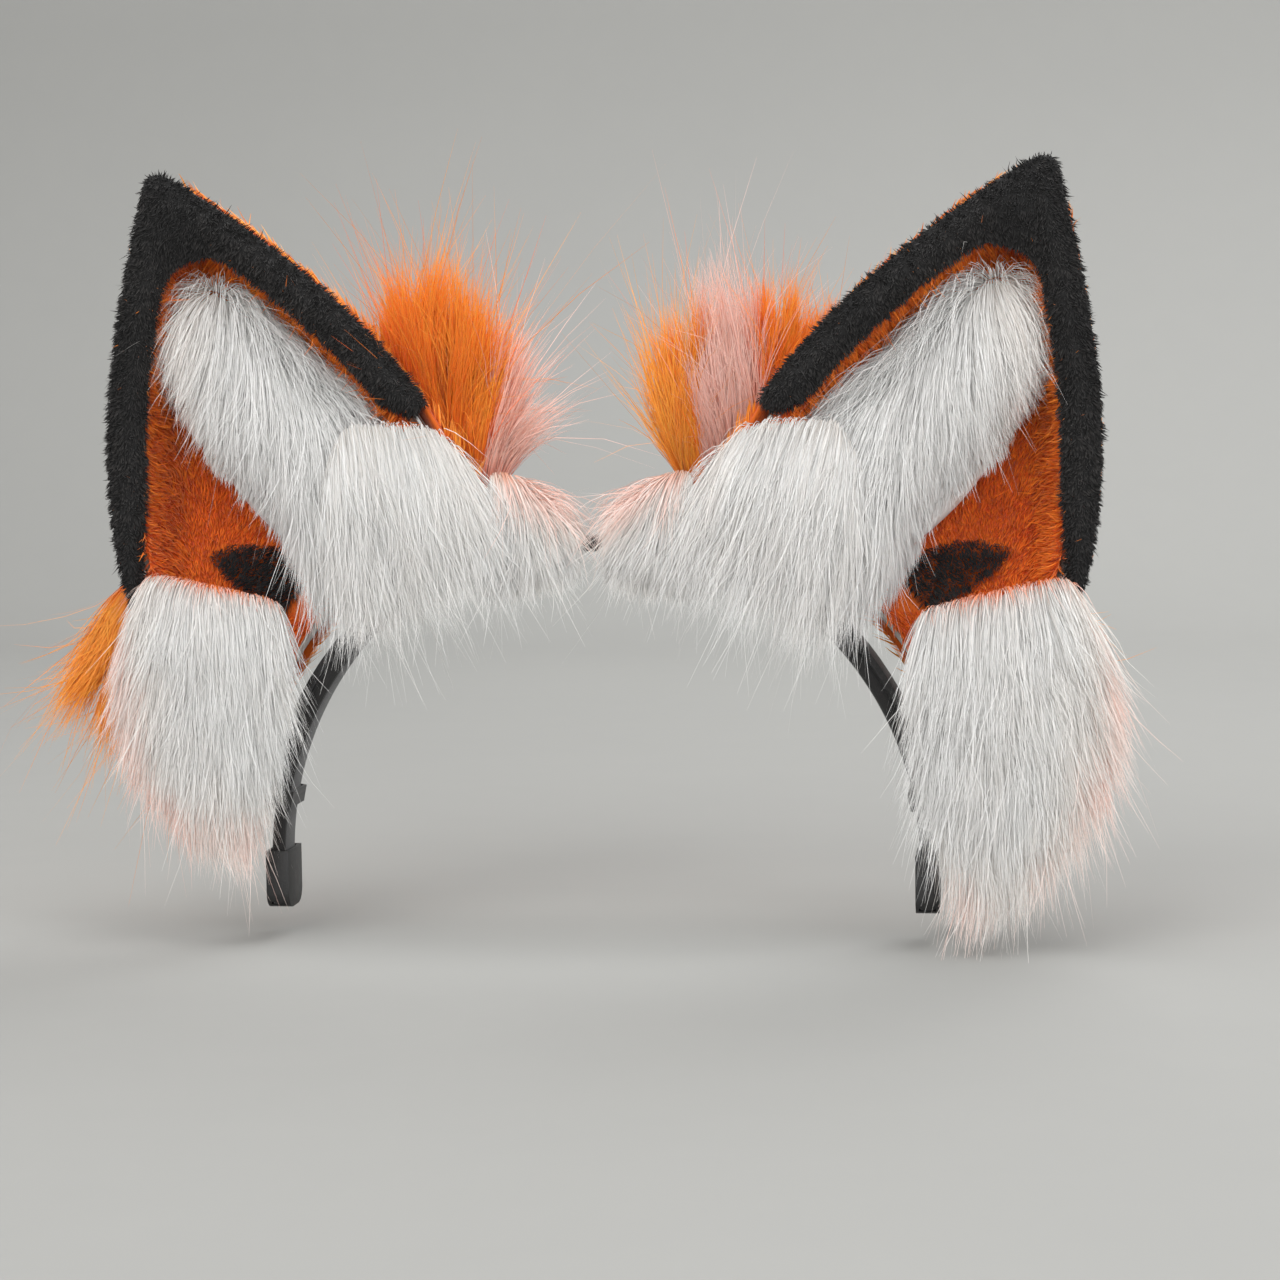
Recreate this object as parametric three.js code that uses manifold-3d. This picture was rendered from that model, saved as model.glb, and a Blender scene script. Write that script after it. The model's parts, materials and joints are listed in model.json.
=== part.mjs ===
// Fox ears headband: a sprung band with a flat crown section, two arms and two bendable plush ears.
// Millimetres, +Z up. The cups open toward -Y. The origin is on the inner face of the band at the
// crown. The +X side is built, and the -X side is its mirror image.
import * as THREE from 'three';
import { mergeVertices } from 'three/addons/utils/BufferGeometryUtils.js';
import Module from 'manifold-3d';

const wasm = await Module();
wasm.setup();

// Clearances
const gap = 0.3;            // between pieces that touch
const hingeGap = 0.5;       // between the ends of the band sections at the crown
const earClearance = 4.2;   // between the felt pad and the lower edge of an ear

// Band
const headHalfWidth = 76;   // centre line to the inner face of an arm
const bandDrop = 74;        // crown down to where an arm runs straight
const crownHalf = 8;        // half length of the flat crown section
const armTail = 10.4;       // straight end of an arm
const sleeveWidth = 11;
const sleeveThickness = 3.3;
const springWidth = 8.2;
const springThickness = 1.2;
const capWall = 0.8;
const capHeight = 14;
const capCorner = 4;

// Ear base
const baseInnerAngle = 0.25;   // radians along the arm's arc, from the crown
const baseOuterAngle = 1.353;
const padWidth = 12;
const padThickness = 1.6;
const footLength = 9;
const tieLength = 4;
const tieThickness = 0.7;

// Ear outline, seen from the front
const tipOut = 51;          // tip from the middle of the base, sideways
const tipUp = 115;          // and upward
const wireDiameter = 1.6;
const wireClearance = 1.5;    // between the cover and the wire, which leaves room for the cover's facets

// Cup
const cupDepthBase = 13;
const cupDepthControl = 48;
const cupDepthTip = 8;
const frontAtBase = -6;     // Y of the cup's open face at the base
const earLean = 0.06;       // how far the open face leans back per millimetre of height
const coverThickness = 2.4;
const stiffenerThickness = 2.8;
const liningThickness = 1.2;
const rimWidth = 9.3;
const rimThickness = 4;
const rimStart = 0.31;      // share of the inner edge below the rim
const rimEnd = 0.3;         // share of the outer edge below the rim
const patchThickness = 1.2;

const armHalf = headHalfWidth - crownHalf;
const earGap = sleeveThickness + gap + padThickness + earClearance;
const wireInset = coverThickness + wireClearance + wireDiameter / 2;

const fabric = (colour, roughness = 0.95) => ({ colour, roughness, metalness: 0 });
const looks = {
  velvet: fabric(0x26231f),
  felt: fabric(0x2a2826),
  steel: { colour: 0xb4b8bc, roughness: 0.35, metalness: 1 },
  wire: { colour: 0xa8adb2, roughness: 0.4, metalness: 1 },
  cap: { colour: 0x1c1b1a, roughness: 0.6, metalness: 0 },
  thread: fabric(0x1e1c1b),
  foam: fabric(0xe6e0d2),
  orangePlush: fabric(0xdd5a14),
  orangeFur: fabric(0xf57d19),
  blackPlush: fabric(0x262321),
  whiteFur: fabric(0xe8e6e2),
};

// Points, curves and closed bodies

const at = (x, z, y = 0) => new THREE.Vector3(x, y, z);

// Angle of the arm's arc that a length along it takes, near the angle given.
const arcTurn = (angle, length) =>
  length / Math.hypot(armHalf * Math.cos(angle), bandDrop * Math.sin(angle));

function bandNormal(angle) {
  return at(bandDrop * Math.sin(angle), armHalf * Math.cos(angle)).normalize();
}

// A point on the arm's arc, raised above the band's inner face.
function bandPoint(angle, rise, y = 0) {
  const face = at(crownHalf + armHalf * Math.sin(angle), bandDrop * (Math.cos(angle) - 1), y);
  return face.addScaledVector(bandNormal(angle), rise);
}

// A strip that follows the arm, between two heights above its inner face.
function bandStrip({ from, to, low, high, width, tail = 0, steps = 20 }) {
  const side = (rise) => {
    const points = [];
    for (let i = 0; i <= steps; i += 1) {
      const p = bandPoint(from + ((to - from) * i) / steps, rise);
      points.push(new THREE.Vector2(p.x, p.z));
    }
    if (tail > 0) points.push(points[steps].clone().add(new THREE.Vector2(0, -tail)));
    return points;
  };
  return extrudeAcross(new THREE.Shape([...side(low), ...side(high).reverse()]), width);
}

// A shape drawn in X and Z, extruded evenly to both sides of the XZ plane.
function extrudeAcross(shape, width) {
  const geometry = new THREE.ExtrudeGeometry(shape, { depth: width, bevelEnabled: false, curveSegments: 8 });
  return geometry.rotateX(Math.PI / 2).translate(0, width / 2, 0);
}

function box(width, depth, height, centre) {
  return new THREE.BoxGeometry(width, depth, height).translate(centre.x, centre.y, centre.z);
}

// A round wire along a list of points.
function wire(points, steps) {
  const section = new THREE.Shape();
  section.absarc(0, 0, wireDiameter / 2, 0, 2 * Math.PI);
  const extrudePath = new THREE.CatmullRomCurve3(points, false, 'centripetal');
  return new THREE.ExtrudeGeometry(section, { steps, extrudePath, curveSegments: 4, bevelEnabled: false });
}

function bareGeometry(geometry) {
  const bare = geometry.clone();
  bare.deleteAttribute('normal');
  bare.deleteAttribute('uv');
  return mergeVertices(bare, 1e-4);
}

function toSolid(geometry) {
  const bare = bareGeometry(geometry);
  return new wasm.Manifold(new wasm.Mesh({
    numProp: 3,
    vertProperties: new Float32Array(bare.attributes.position.array),
    triVerts: new Uint32Array(bare.index.array),
  }));
}

function cut(body, tool) {
  const { vertProperties, triVerts } = toSolid(body).subtract(toSolid(tool)).getMesh();
  return indexedGeometry(Array.from(vertProperties), Array.from(triVerts));
}

function indexedGeometry(positions, index) {
  const geometry = new THREE.BufferGeometry();
  geometry.setAttribute('position', new THREE.Float32BufferAttribute(positions, 3));
  geometry.setIndex(index);
  return geometry;
}

// A closed body between two grids of points, each a list of rows with the same number of columns.
// Both faces are split along the same diagonals.
function slab(front, back) {
  const rows = front.length;
  const columns = front[0].length;
  const behind = rows * columns;
  const index = [];
  const quad = (a, b, c, d) => index.push(a, b, c, a, c, d);
  for (let i = 0; i < rows - 1; i += 1) {
    for (let j = 0; j < columns - 1; j += 1) {
      const a = i * columns + j;
      const c = a + columns + 1;
      quad(a, a + 1, c, c - 1);
      quad(behind + c, behind + a + 1, behind + a, behind + c - 1);
    }
    const left = i * columns;
    const right = left + columns - 1;
    quad(left, left + columns, behind + left + columns, behind + left);
    quad(right, behind + right, behind + right + columns, right + columns);
  }
  for (let j = 0; j < columns - 1; j += 1) {
    const top = (rows - 1) * columns + j;
    quad(j, behind + j, behind + j + 1, j + 1);
    quad(top, top + 1, behind + top + 1, behind + top);
  }
  const positions = [...front.flat(), ...back.flat()].flatMap((p) => p.toArray());
  return indexedGeometry(positions, index);
}

function grid(rows, columns, point) {
  return Array.from({ length: rows + 1 }, (_, i) =>
    Array.from({ length: columns + 1 }, (__, j) => point(j / columns, i / rows)));
}

// The ear's outline and cup

const baseInner = bandPoint(baseInnerAngle, earGap);
const baseOuter = bandPoint(baseOuterAngle, earGap);
const baseMiddle = baseInner.clone().lerp(baseOuter, 0.5);
const tip = baseMiddle.clone().add(at(tipOut, tipUp));
const beside = (point, x, z) => point.clone().add(at(x, z));

const innerTop = beside(tip, -4, -0.3);
const outerTop = beside(tip, 1.8, -3.6);
const innerEdge = new THREE.CubicBezierCurve3(
  baseInner, beside(baseInner, 3, 30), beside(tip, -40, -22), innerTop);
const outerEdge = new THREE.CubicBezierCurve3(
  baseOuter, beside(baseOuter, 49, 44), beside(tip, 11.5, -45), outerTop);
const tipArc = new THREE.QuadraticBezierCurve3(innerTop, beside(tip, 1.6, 1.6), outerTop);

// A point of an edge moved into the ear: along the band at the base, and square to the edge above.
function inset(edge, share, distance) {
  const turn = edge === innerEdge ? 1 : -1;
  const angle = edge === innerEdge ? baseInnerAngle : baseOuterAngle;
  const squareFrom = 0.16;
  const tangent = edge.getTangent(share);
  const inward = at(tangent.z, -tangent.x);
  const normal = bandNormal(angle);
  const alongBand = at(normal.z, -normal.x);
  inward.lerp(alongBand, Math.max(0, 1 - share / squareFrom)).normalize();
  return edge.getPoint(share).addScaledVector(inward, turn * distance);
}

// Moves a point back by its place relative to the open face, which leans with height.
const hingeLine = baseOuter.clone().sub(baseInner).normalize();
const earUp = at(-hingeLine.z, hingeLine.x);
function behindFace(point, y) {
  const height = point.clone().sub(baseInner).dot(earUp);
  return point.clone().setY(frontAtBase + earLean * height + y);
}

const cupDepth = (v) =>
  (1 - v) ** 2 * cupDepthBase + 2 * v * (1 - v) * cupDepthControl + v ** 2 * cupDepthTip;

// A point of the cup: u runs from the inner to the outer edge, v from the base to the tip, and
// depth is measured in from the outside of the back cover.
function cupPoint(u, v, depth) {
  const across = (1 - Math.cos(Math.PI * u)) / 2;
  const point = inset(innerEdge, v, depth).lerp(inset(outerEdge, v, depth), across);
  const chord = baseInner.clone().lerp(baseOuter, across);
  const arc = bandPoint(baseInnerAngle + (baseOuterAngle - baseInnerAngle) * across, earGap);
  point.addScaledVector(arc.sub(chord), (1 - v) ** 2);
  return behindFace(point, (cupDepth(v) - depth) * Math.sin(Math.PI * u));
}

// Every layer of the cup has its points on the same rows and columns, so that layers nest.
const cupRow = 0.08;
const cupColumn = 0.1;

// A layer of the cup between two depths and over a span of rows and columns. A layer that is set
// back stops short of the open face.
function cupLayer({ from, to, rows: [low, high], columns: [first, last] = [0, 10], setBack = 0 }) {
  const surface = (depth) => grid(high - low, last - first, (s, t) => {
    const v = (low + (high - low) * t) * cupRow;
    const u = (first + (last - first) * s) * cupColumn;
    const point = cupPoint(u, v, depth);
    if (setBack === 0 || (s > 0 && s < 1)) return point;
    const nextColumn = cupPoint(s === 0 ? cupColumn : 1 - cupColumn, v, depth);
    return point.lerp(nextColumn, setBack / (nextColumn.y - point.y));
  });
  return slab(surface(to), surface(from));
}

// A soft pillow between two side curves, thickest in the middle.
function pillow({ left, right, centre, halfThickness, rows = 8, columns = 6 }) {
  const edgeThickness = 0.6;
  const face = (sign) => grid(rows, columns, (s, t) => {
    const bulge = Math.sin(Math.PI * s) * Math.sin(Math.PI * (0.12 + 0.76 * t));
    const half = edgeThickness + (halfThickness - edgeThickness) * bulge;
    const point = left.getPoint(t).lerp(right.getPoint(t), s);
    return point.setY(centre + sign * half);
  });
  return slab(face(-1), face(1));
}

// A smooth curve through points given from a corner of the ear's base.
const through = (corner, ...offsets) =>
  new THREE.CatmullRomCurve3(offsets.map(([x, z]) => beside(corner, x, z)));

// Just outside an edge of the ear, from one share of it to another.
function alongEdge(edge, from, to, clear) {
  const points = [0, 1, 2, 3].map((i) => inset(edge, from + ((to - from) * i) / 3, -clear));
  return new THREE.CatmullRomCurve3(points);
}

// The pieces of the crown and of an arm

function crownPieces() {
  const length = 2 * crownHalf - hingeGap;
  const middle = new THREE.Vector3(0, 0, sleeveThickness / 2);
  const sleeve = box(length, sleeveWidth, sleeveThickness, middle);
  const slot = box(length + 2, springWidth + 2 * gap, springThickness + 2 * gap, middle);
  return [
    ['crown_band_spring', box(length, springWidth, springThickness, middle), looks.steel],
    ['crown_band_sleeve', cut(sleeve, slot), looks.velvet],
  ];
}

const springLow = (sleeveThickness - springThickness) / 2;
const springHigh = springLow + springThickness;
const armStart = arcTurn(0, hingeGap / 2);
const armStrip = { from: armStart, to: Math.PI / 2, tail: armTail };

function armSpring() {
  return bandStrip({
    ...armStrip, low: springLow, high: springHigh, width: springWidth, tail: armTail - gap,
  });
}

function armSleeve() {
  const body = bandStrip({ ...armStrip, low: 0, high: sleeveThickness, width: sleeveWidth });
  const slot = bandStrip({
    from: -armStart,
    to: Math.PI / 2,
    low: springLow - gap,
    high: springHigh + gap,
    width: springWidth + 2 * gap,
    tail: armTail + 1,
  });
  return cut(body, slot);
}

// The end cap is a flat pad with rounded lower corners and a socket for the end of the sleeve.
function endCap() {
  const half = sleeveWidth / 2 + gap + capWall;
  const low = -bandDrop - armTail - gap - capWall;
  const outline = new THREE.Shape();
  outline.moveTo(-half, low + capHeight);
  outline.lineTo(-half, low + capCorner);
  outline.absarc(-half + capCorner, low + capCorner, capCorner, Math.PI, 1.5 * Math.PI);
  outline.absarc(half - capCorner, low + capCorner, capCorner, 1.5 * Math.PI, 2 * Math.PI);
  outline.lineTo(half, low + capHeight);
  const thickness = sleeveThickness + 2 * (gap + capWall);
  const middle = headHalfWidth + sleeveThickness / 2;
  const body = extrudeAcross(outline, thickness).rotateZ(Math.PI / 2).translate(middle, 0, 0);
  const socketHeight = capHeight + 2;
  const socket = box(
    thickness - 2 * capWall,
    2 * (half - capWall),
    socketHeight,
    new THREE.Vector3(middle, 0, low + capWall + socketHeight / 2),
  );
  return cut(body, socket);
}

const wireDepth = wireDiameter / 2 + 0.7;   // wire axis behind the open face
const footY = frontAtBase + wireDepth;
const footRise = sleeveThickness + gap + wireDiameter / 2;

// Where the wire frame meets its feet: the inner and the outer end of the ear's bending line.
const footAngles = {
  inner: baseInnerAngle + arcTurn(baseInnerAngle, wireInset),
  outer: baseOuterAngle - arcTurn(baseOuterAngle, wireInset),
};
const awayFromEar = { inner: -1, outer: 1 };

// A foot lies along the sleeve, away from the ear, and turns up into the end of the wire frame.
function wireFoot(end) {
  const angle = footAngles[end];
  const away = (length, rise) =>
    bandPoint(angle + awayFromEar[end] * arcTurn(angle, length), rise, footY);
  const points = [
    away(footLength, footRise),
    away(footLength / 2, footRise),
    away(1.8, footRise),
    away(0, footRise + 1.8),
    away(0, earGap - hingeGap),
  ];
  return wire(points, 14);
}

// A tie is a bound ring around the sleeve and the foot.
function tie(end) {
  const angle = footAngles[end] + awayFromEar[end] * arcTurn(footAngles[end], footLength * 0.62);
  const half = arcTurn(angle, tieLength / 2);
  const ring = (extra, stretch) => bandStrip({
    from: angle - half * stretch,
    to: angle + half * stretch,
    low: -gap - extra,
    high: sleeveThickness + wireDiameter + 2 * gap + extra,
    width: sleeveWidth + 2 * gap + 2 * extra,
    steps: 3,
  });
  return cut(ring(tieThickness, 1), ring(0, 1.5));
}

function basePad() {
  const low = sleeveThickness + gap;
  const room = wireDiameter / 2 + 1;
  return bandStrip({
    from: footAngles.inner + arcTurn(footAngles.inner, room),
    to: footAngles.outer - arcTurn(footAngles.outer, room),
    low,
    high: low + padThickness,
    width: padWidth,
    steps: 16,
  });
}

// Fur sewn along the front of the band, between the crown and the ear.
function crownFur() {
  return pillow({
    left: through(at(crownHalf, 0), [-3, -6], [-4.5, 0], [-3, 7]),
    right: through(at(crownHalf, 0), [12, -10.5], [12.5, 4], [11.5, 20]),
    centre: -sleeveWidth / 2 - 6,
    halfThickness: 3.8,
  });
}

function armPieces() {
  return [
    ['band_spring', armSpring(), looks.steel],
    ['band_sleeve', armSleeve(), looks.velvet],
    ['end_cap', endCap(), looks.cap],
    ['ear_base_pad', basePad(), looks.felt],
    ['inner_wire_foot', wireFoot('inner'), looks.wire],
    ['outer_wire_foot', wireFoot('outer'), looks.wire],
    ['inner_thread_tie', tie('inner'), looks.thread],
    ['outer_thread_tie', tie('outer'), looks.thread],
    ['crown_fur', crownFur(), looks.whiteFur],
  ];
}

// The pieces of an ear

function wireFrame() {
  const above = (end, height) => bandPoint(footAngles[end], earGap + height, footY);
  const straight = 1.2;
  const shares = Array.from({ length: 11 }, (_, i) => cupRow * (i + 0.5));
  const inPlane = (point) => behindFace(point, wireDepth);
  const points = [
    above('inner', 0),
    above('inner', straight),
    ...shares.map((share) => inPlane(inset(innerEdge, share, wireInset))),
    inPlane(beside(tip, -4.4, -10)),
    ...shares.reverse().map((share) => inPlane(inset(outerEdge, share, wireInset))),
    above('outer', straight),
    above('outer', 0),
  ];
  return wire(points, 44);
}

// The rim lies on the open face and follows the outline from one end over the tip to the other.
function rim() {
  const steps = 9;
  const tipSteps = 4;
  const lastShare = 0.83;
  const share = (start, i) => start + (1 - start) * (i / steps);
  const innerShare = (start, i) => start + (lastShare - start) * (i / steps);
  const apex = beside(tip, -4.5, -20);
  const apexArc = new THREE.QuadraticBezierCurve3(
    inset(innerEdge, lastShare, rimWidth), apex, inset(outerEdge, lastShare, rimWidth));
  const stations = [];
  for (let i = 0; i < steps; i += 1) {
    const width = rimWidth * Math.min(1, 0.55 + 0.45 * i);
    stations.push([innerEdge.getPoint(share(rimStart, i)), inset(innerEdge, innerShare(rimStart, i), width)]);
  }
  for (let i = 0; i <= tipSteps; i += 1) {
    stations.push([tipArc.getPoint(i / tipSteps), apexArc.getPoint(i / tipSteps)]);
  }
  for (let i = steps - 1; i >= 0; i -= 1) {
    const width = rimWidth * Math.min(1, 0.3 + 0.25 * i);
    stations.push([outerEdge.getPoint(share(rimEnd, i)), inset(outerEdge, innerShare(rimEnd, i), width)]);
  }
  const columns = 4;
  const face = (thickness) => stations.map(([outside, inside]) =>
    Array.from({ length: columns + 1 }, (_, j) => {
      const s = j / columns;
      const crown = 0.35 + 0.65 * Math.sin(Math.PI * s);
      return behindFace(outside.clone().lerp(inside, s), -gap - thickness * crown);
    }));
  return slab(face(rimThickness), face(0));
}

const liningDepth = coverThickness + stiffenerThickness + liningThickness + 2.8 * gap;
const patchDepth = liningDepth + gap + patchThickness;

// The white fluff fills the middle of the cup and swells a little out of its open face. It is
// narrower lower down, where the lining and the canal patch show beside it.
function innerFluff() {
  const rows = 9;
  const columns = 7;
  const depth = patchDepth + 3 * gap;
  const place = (s, t) => [0.2 + (0.29 + 0.3 * t) * s, 0.08 + 0.7 * t];
  const back = grid(rows, columns, (s, t) => cupPoint(...place(s, t), depth));
  const front = grid(rows, columns, (s, t) => {
    const swell = 1 - 4 * Math.sin(Math.PI * s) * Math.sin(Math.PI * t);
    return behindFace(cupPoint(...place(s, t), depth), swell);
  });
  return slab(front, back);
}

// More fluff hangs in front of the ear's lower inner part, from the end of the rim to the band.
function browFluff() {
  return pillow({
    left: through(baseInner, [-3, 2], [0, 16], [8, 27]),
    right: through(baseInner, [33, -24], [39, 2], [31, 29]),
    centre: frontAtBase - 6.5,
    halfThickness: 4,
  });
}

function canalPatch() {
  return cupLayer({ from: liningDepth + gap, to: patchDepth, rows: [1, 4], columns: [5, 8] });
}

function lowerTuft() {
  return pillow({
    left: through(baseOuter, [2, -34], [-5, -14], [-11, 11], [-13, 39]),
    right: through(baseOuter, [6, -36], [25, -24], [39, -2], [42, 24], [33, 51]),
    centre: frontAtBase - 11,
    halfThickness: 7,
  });
}

function upperRearTuft() {
  return pillow({
    left: through(baseInner, [-9, 6], [-14, 29], [-3, 56], [14, 73]),
    right: alongEdge(innerEdge, 0.12, 0.62, 2),
    centre: 8,
    halfThickness: 5,
  });
}

function outerRearTuft() {
  return pillow({
    left: alongEdge(outerEdge, 0.08, 0.36, 2),
    right: through(baseOuter, [13, -1], [36, 9], [48, 21], [39, 52]),
    centre: 2,
    halfThickness: 5,
    rows: 6,
  });
}

function earPieces() {
  const stiffenerOut = coverThickness + gap;
  const liningOut = liningDepth - liningThickness;
  const cover = cupLayer({ from: 0, to: coverThickness, rows: [0, 12] });
  const stiffener = cupLayer({
    from: stiffenerOut,
    to: stiffenerOut + stiffenerThickness,
    rows: [0, 10],
    setBack: wireDepth + wireDiameter / 2 + gap,
  });
  const lining = cupLayer({ from: liningOut, to: liningDepth, rows: [0, 11] });
  return [
    ['wire_frame', wireFrame(), looks.wire],
    ['foam_stiffener', stiffener, looks.foam],
    ['back_cover', cover, looks.orangeFur],
    ['cup_lining', lining, looks.orangePlush],
    ['rim_plush', rim(), looks.blackPlush],
    ['inner_fluff', innerFluff(), looks.whiteFur],
    ['brow_fluff', browFluff(), looks.whiteFur],
    ['canal_patch', canalPatch(), looks.blackPlush],
    ['lower_tuft', lowerTuft(), looks.whiteFur],
    ['upper_rear_tuft', upperRearTuft(), looks.orangeFur],
    ['outer_rear_tuft', outerRearTuft(), looks.orangeFur],
  ];
}

// The scene

function mirrored(geometry) {
  const copy = bareGeometry(geometry).scale(-1, 1, 1);
  const flipped = Array.from(copy.index.array);
  for (let i = 0; i < flipped.length; i += 3) {
    [flipped[i], flipped[i + 1]] = [flipped[i + 1], flipped[i]];
  }
  return copy.setIndex(flipped);
}

function pieceMesh(name, geometry, look) {
  const material = new THREE.MeshStandardMaterial({
    color: look.colour,
    roughness: look.roughness,
    metalness: look.metalness,
  });
  const mesh = new THREE.Mesh(geometry, material);
  mesh.name = name;
  return mesh;
}

const headband = new THREE.Group();
for (const [name, geometry, look] of crownPieces()) {
  headband.add(pieceMesh(name, geometry, look));
}
for (const makePieces of [armPieces, earPieces]) {
  const rightSide = new THREE.Group();
  const leftSide = new THREE.Group();
  for (const [name, geometry, look] of makePieces()) {
    rightSide.add(pieceMesh(`right_${name}`, geometry, look));
    leftSide.add(pieceMesh(`left_${name}`, mirrored(geometry), look));
  }
  headband.add(rightSide, leftSide);
}

export default headband;
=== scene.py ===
import json
import math
import bmesh
import bpy
from mathutils import Matrix, Vector, noise
from mathutils.bvhtree import BVHTree
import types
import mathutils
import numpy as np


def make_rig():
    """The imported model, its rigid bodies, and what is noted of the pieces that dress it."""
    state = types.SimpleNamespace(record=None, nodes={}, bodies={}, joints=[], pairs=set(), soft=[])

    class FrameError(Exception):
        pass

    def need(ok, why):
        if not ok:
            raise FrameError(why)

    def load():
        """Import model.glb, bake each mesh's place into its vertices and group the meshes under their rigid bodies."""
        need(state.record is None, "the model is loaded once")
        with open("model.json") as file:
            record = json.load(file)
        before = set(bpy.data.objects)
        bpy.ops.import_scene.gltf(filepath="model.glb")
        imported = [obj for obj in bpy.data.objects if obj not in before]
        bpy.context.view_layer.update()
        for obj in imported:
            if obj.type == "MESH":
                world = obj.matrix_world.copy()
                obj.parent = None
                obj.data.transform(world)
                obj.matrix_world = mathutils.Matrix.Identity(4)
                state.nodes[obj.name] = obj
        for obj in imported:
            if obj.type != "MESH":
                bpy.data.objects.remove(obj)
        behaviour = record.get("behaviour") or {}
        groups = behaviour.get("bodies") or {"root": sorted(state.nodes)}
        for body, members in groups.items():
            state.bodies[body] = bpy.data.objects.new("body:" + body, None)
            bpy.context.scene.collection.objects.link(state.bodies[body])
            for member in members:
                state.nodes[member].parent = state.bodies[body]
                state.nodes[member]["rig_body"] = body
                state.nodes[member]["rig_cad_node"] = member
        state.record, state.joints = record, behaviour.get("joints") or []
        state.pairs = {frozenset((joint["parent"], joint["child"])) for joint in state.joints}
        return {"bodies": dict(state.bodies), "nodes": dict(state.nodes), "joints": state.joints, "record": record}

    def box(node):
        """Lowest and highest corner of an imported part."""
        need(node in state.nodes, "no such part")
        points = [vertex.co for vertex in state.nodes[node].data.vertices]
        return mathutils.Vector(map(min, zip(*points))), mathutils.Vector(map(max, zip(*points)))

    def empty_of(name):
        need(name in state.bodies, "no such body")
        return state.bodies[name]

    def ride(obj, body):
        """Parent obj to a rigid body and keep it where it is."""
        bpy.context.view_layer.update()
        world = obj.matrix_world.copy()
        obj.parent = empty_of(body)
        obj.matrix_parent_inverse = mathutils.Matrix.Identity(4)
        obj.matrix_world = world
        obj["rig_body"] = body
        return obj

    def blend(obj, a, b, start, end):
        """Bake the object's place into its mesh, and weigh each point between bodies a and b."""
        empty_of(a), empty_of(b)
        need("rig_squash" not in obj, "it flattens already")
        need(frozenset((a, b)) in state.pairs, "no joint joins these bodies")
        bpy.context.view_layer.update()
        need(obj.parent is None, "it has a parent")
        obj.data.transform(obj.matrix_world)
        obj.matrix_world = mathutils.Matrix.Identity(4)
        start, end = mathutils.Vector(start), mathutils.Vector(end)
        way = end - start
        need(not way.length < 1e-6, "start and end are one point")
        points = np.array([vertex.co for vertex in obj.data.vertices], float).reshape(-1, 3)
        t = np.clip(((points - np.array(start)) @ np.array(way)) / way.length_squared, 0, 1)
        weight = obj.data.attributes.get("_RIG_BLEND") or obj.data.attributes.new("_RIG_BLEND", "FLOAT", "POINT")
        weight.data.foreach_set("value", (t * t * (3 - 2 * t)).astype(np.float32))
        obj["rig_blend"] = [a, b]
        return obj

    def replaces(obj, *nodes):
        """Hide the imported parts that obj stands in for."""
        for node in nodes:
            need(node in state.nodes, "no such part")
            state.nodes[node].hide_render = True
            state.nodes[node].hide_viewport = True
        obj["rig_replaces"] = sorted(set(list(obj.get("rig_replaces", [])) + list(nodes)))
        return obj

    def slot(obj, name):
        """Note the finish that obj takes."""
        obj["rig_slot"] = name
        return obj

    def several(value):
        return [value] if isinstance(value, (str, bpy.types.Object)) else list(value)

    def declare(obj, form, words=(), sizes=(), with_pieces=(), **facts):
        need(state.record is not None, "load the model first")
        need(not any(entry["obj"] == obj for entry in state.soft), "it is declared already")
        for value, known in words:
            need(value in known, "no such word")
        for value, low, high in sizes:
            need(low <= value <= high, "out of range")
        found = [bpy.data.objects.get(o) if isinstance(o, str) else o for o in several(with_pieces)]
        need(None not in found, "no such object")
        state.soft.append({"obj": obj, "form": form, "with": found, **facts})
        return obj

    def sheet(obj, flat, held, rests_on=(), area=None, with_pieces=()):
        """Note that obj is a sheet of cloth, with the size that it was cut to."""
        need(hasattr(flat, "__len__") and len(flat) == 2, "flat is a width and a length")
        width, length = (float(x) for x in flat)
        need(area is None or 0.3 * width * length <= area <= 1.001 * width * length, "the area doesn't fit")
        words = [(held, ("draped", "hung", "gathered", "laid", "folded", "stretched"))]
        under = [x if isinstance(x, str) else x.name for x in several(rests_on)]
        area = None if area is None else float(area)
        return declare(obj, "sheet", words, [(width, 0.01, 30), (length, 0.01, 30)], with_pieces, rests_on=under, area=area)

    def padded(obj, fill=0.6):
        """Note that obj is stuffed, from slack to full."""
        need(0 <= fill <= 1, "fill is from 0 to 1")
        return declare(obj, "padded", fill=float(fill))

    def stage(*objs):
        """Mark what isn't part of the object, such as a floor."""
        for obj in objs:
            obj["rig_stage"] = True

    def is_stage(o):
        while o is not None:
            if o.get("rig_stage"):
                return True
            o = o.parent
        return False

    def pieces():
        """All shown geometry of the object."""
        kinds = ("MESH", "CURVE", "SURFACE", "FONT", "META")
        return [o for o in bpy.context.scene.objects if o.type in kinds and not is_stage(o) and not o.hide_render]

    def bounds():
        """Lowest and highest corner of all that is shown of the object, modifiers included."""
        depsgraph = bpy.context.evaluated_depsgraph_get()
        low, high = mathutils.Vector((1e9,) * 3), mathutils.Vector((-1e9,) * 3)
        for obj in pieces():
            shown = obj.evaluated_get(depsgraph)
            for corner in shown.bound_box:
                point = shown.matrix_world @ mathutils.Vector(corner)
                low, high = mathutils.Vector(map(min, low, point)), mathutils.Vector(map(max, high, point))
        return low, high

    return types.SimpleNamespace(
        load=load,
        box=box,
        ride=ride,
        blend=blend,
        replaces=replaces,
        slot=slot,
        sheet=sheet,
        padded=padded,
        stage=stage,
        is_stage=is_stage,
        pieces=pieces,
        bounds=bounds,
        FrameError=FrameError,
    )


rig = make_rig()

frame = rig.load()
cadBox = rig.bounds()
nodes = frame["nodes"]
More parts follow.
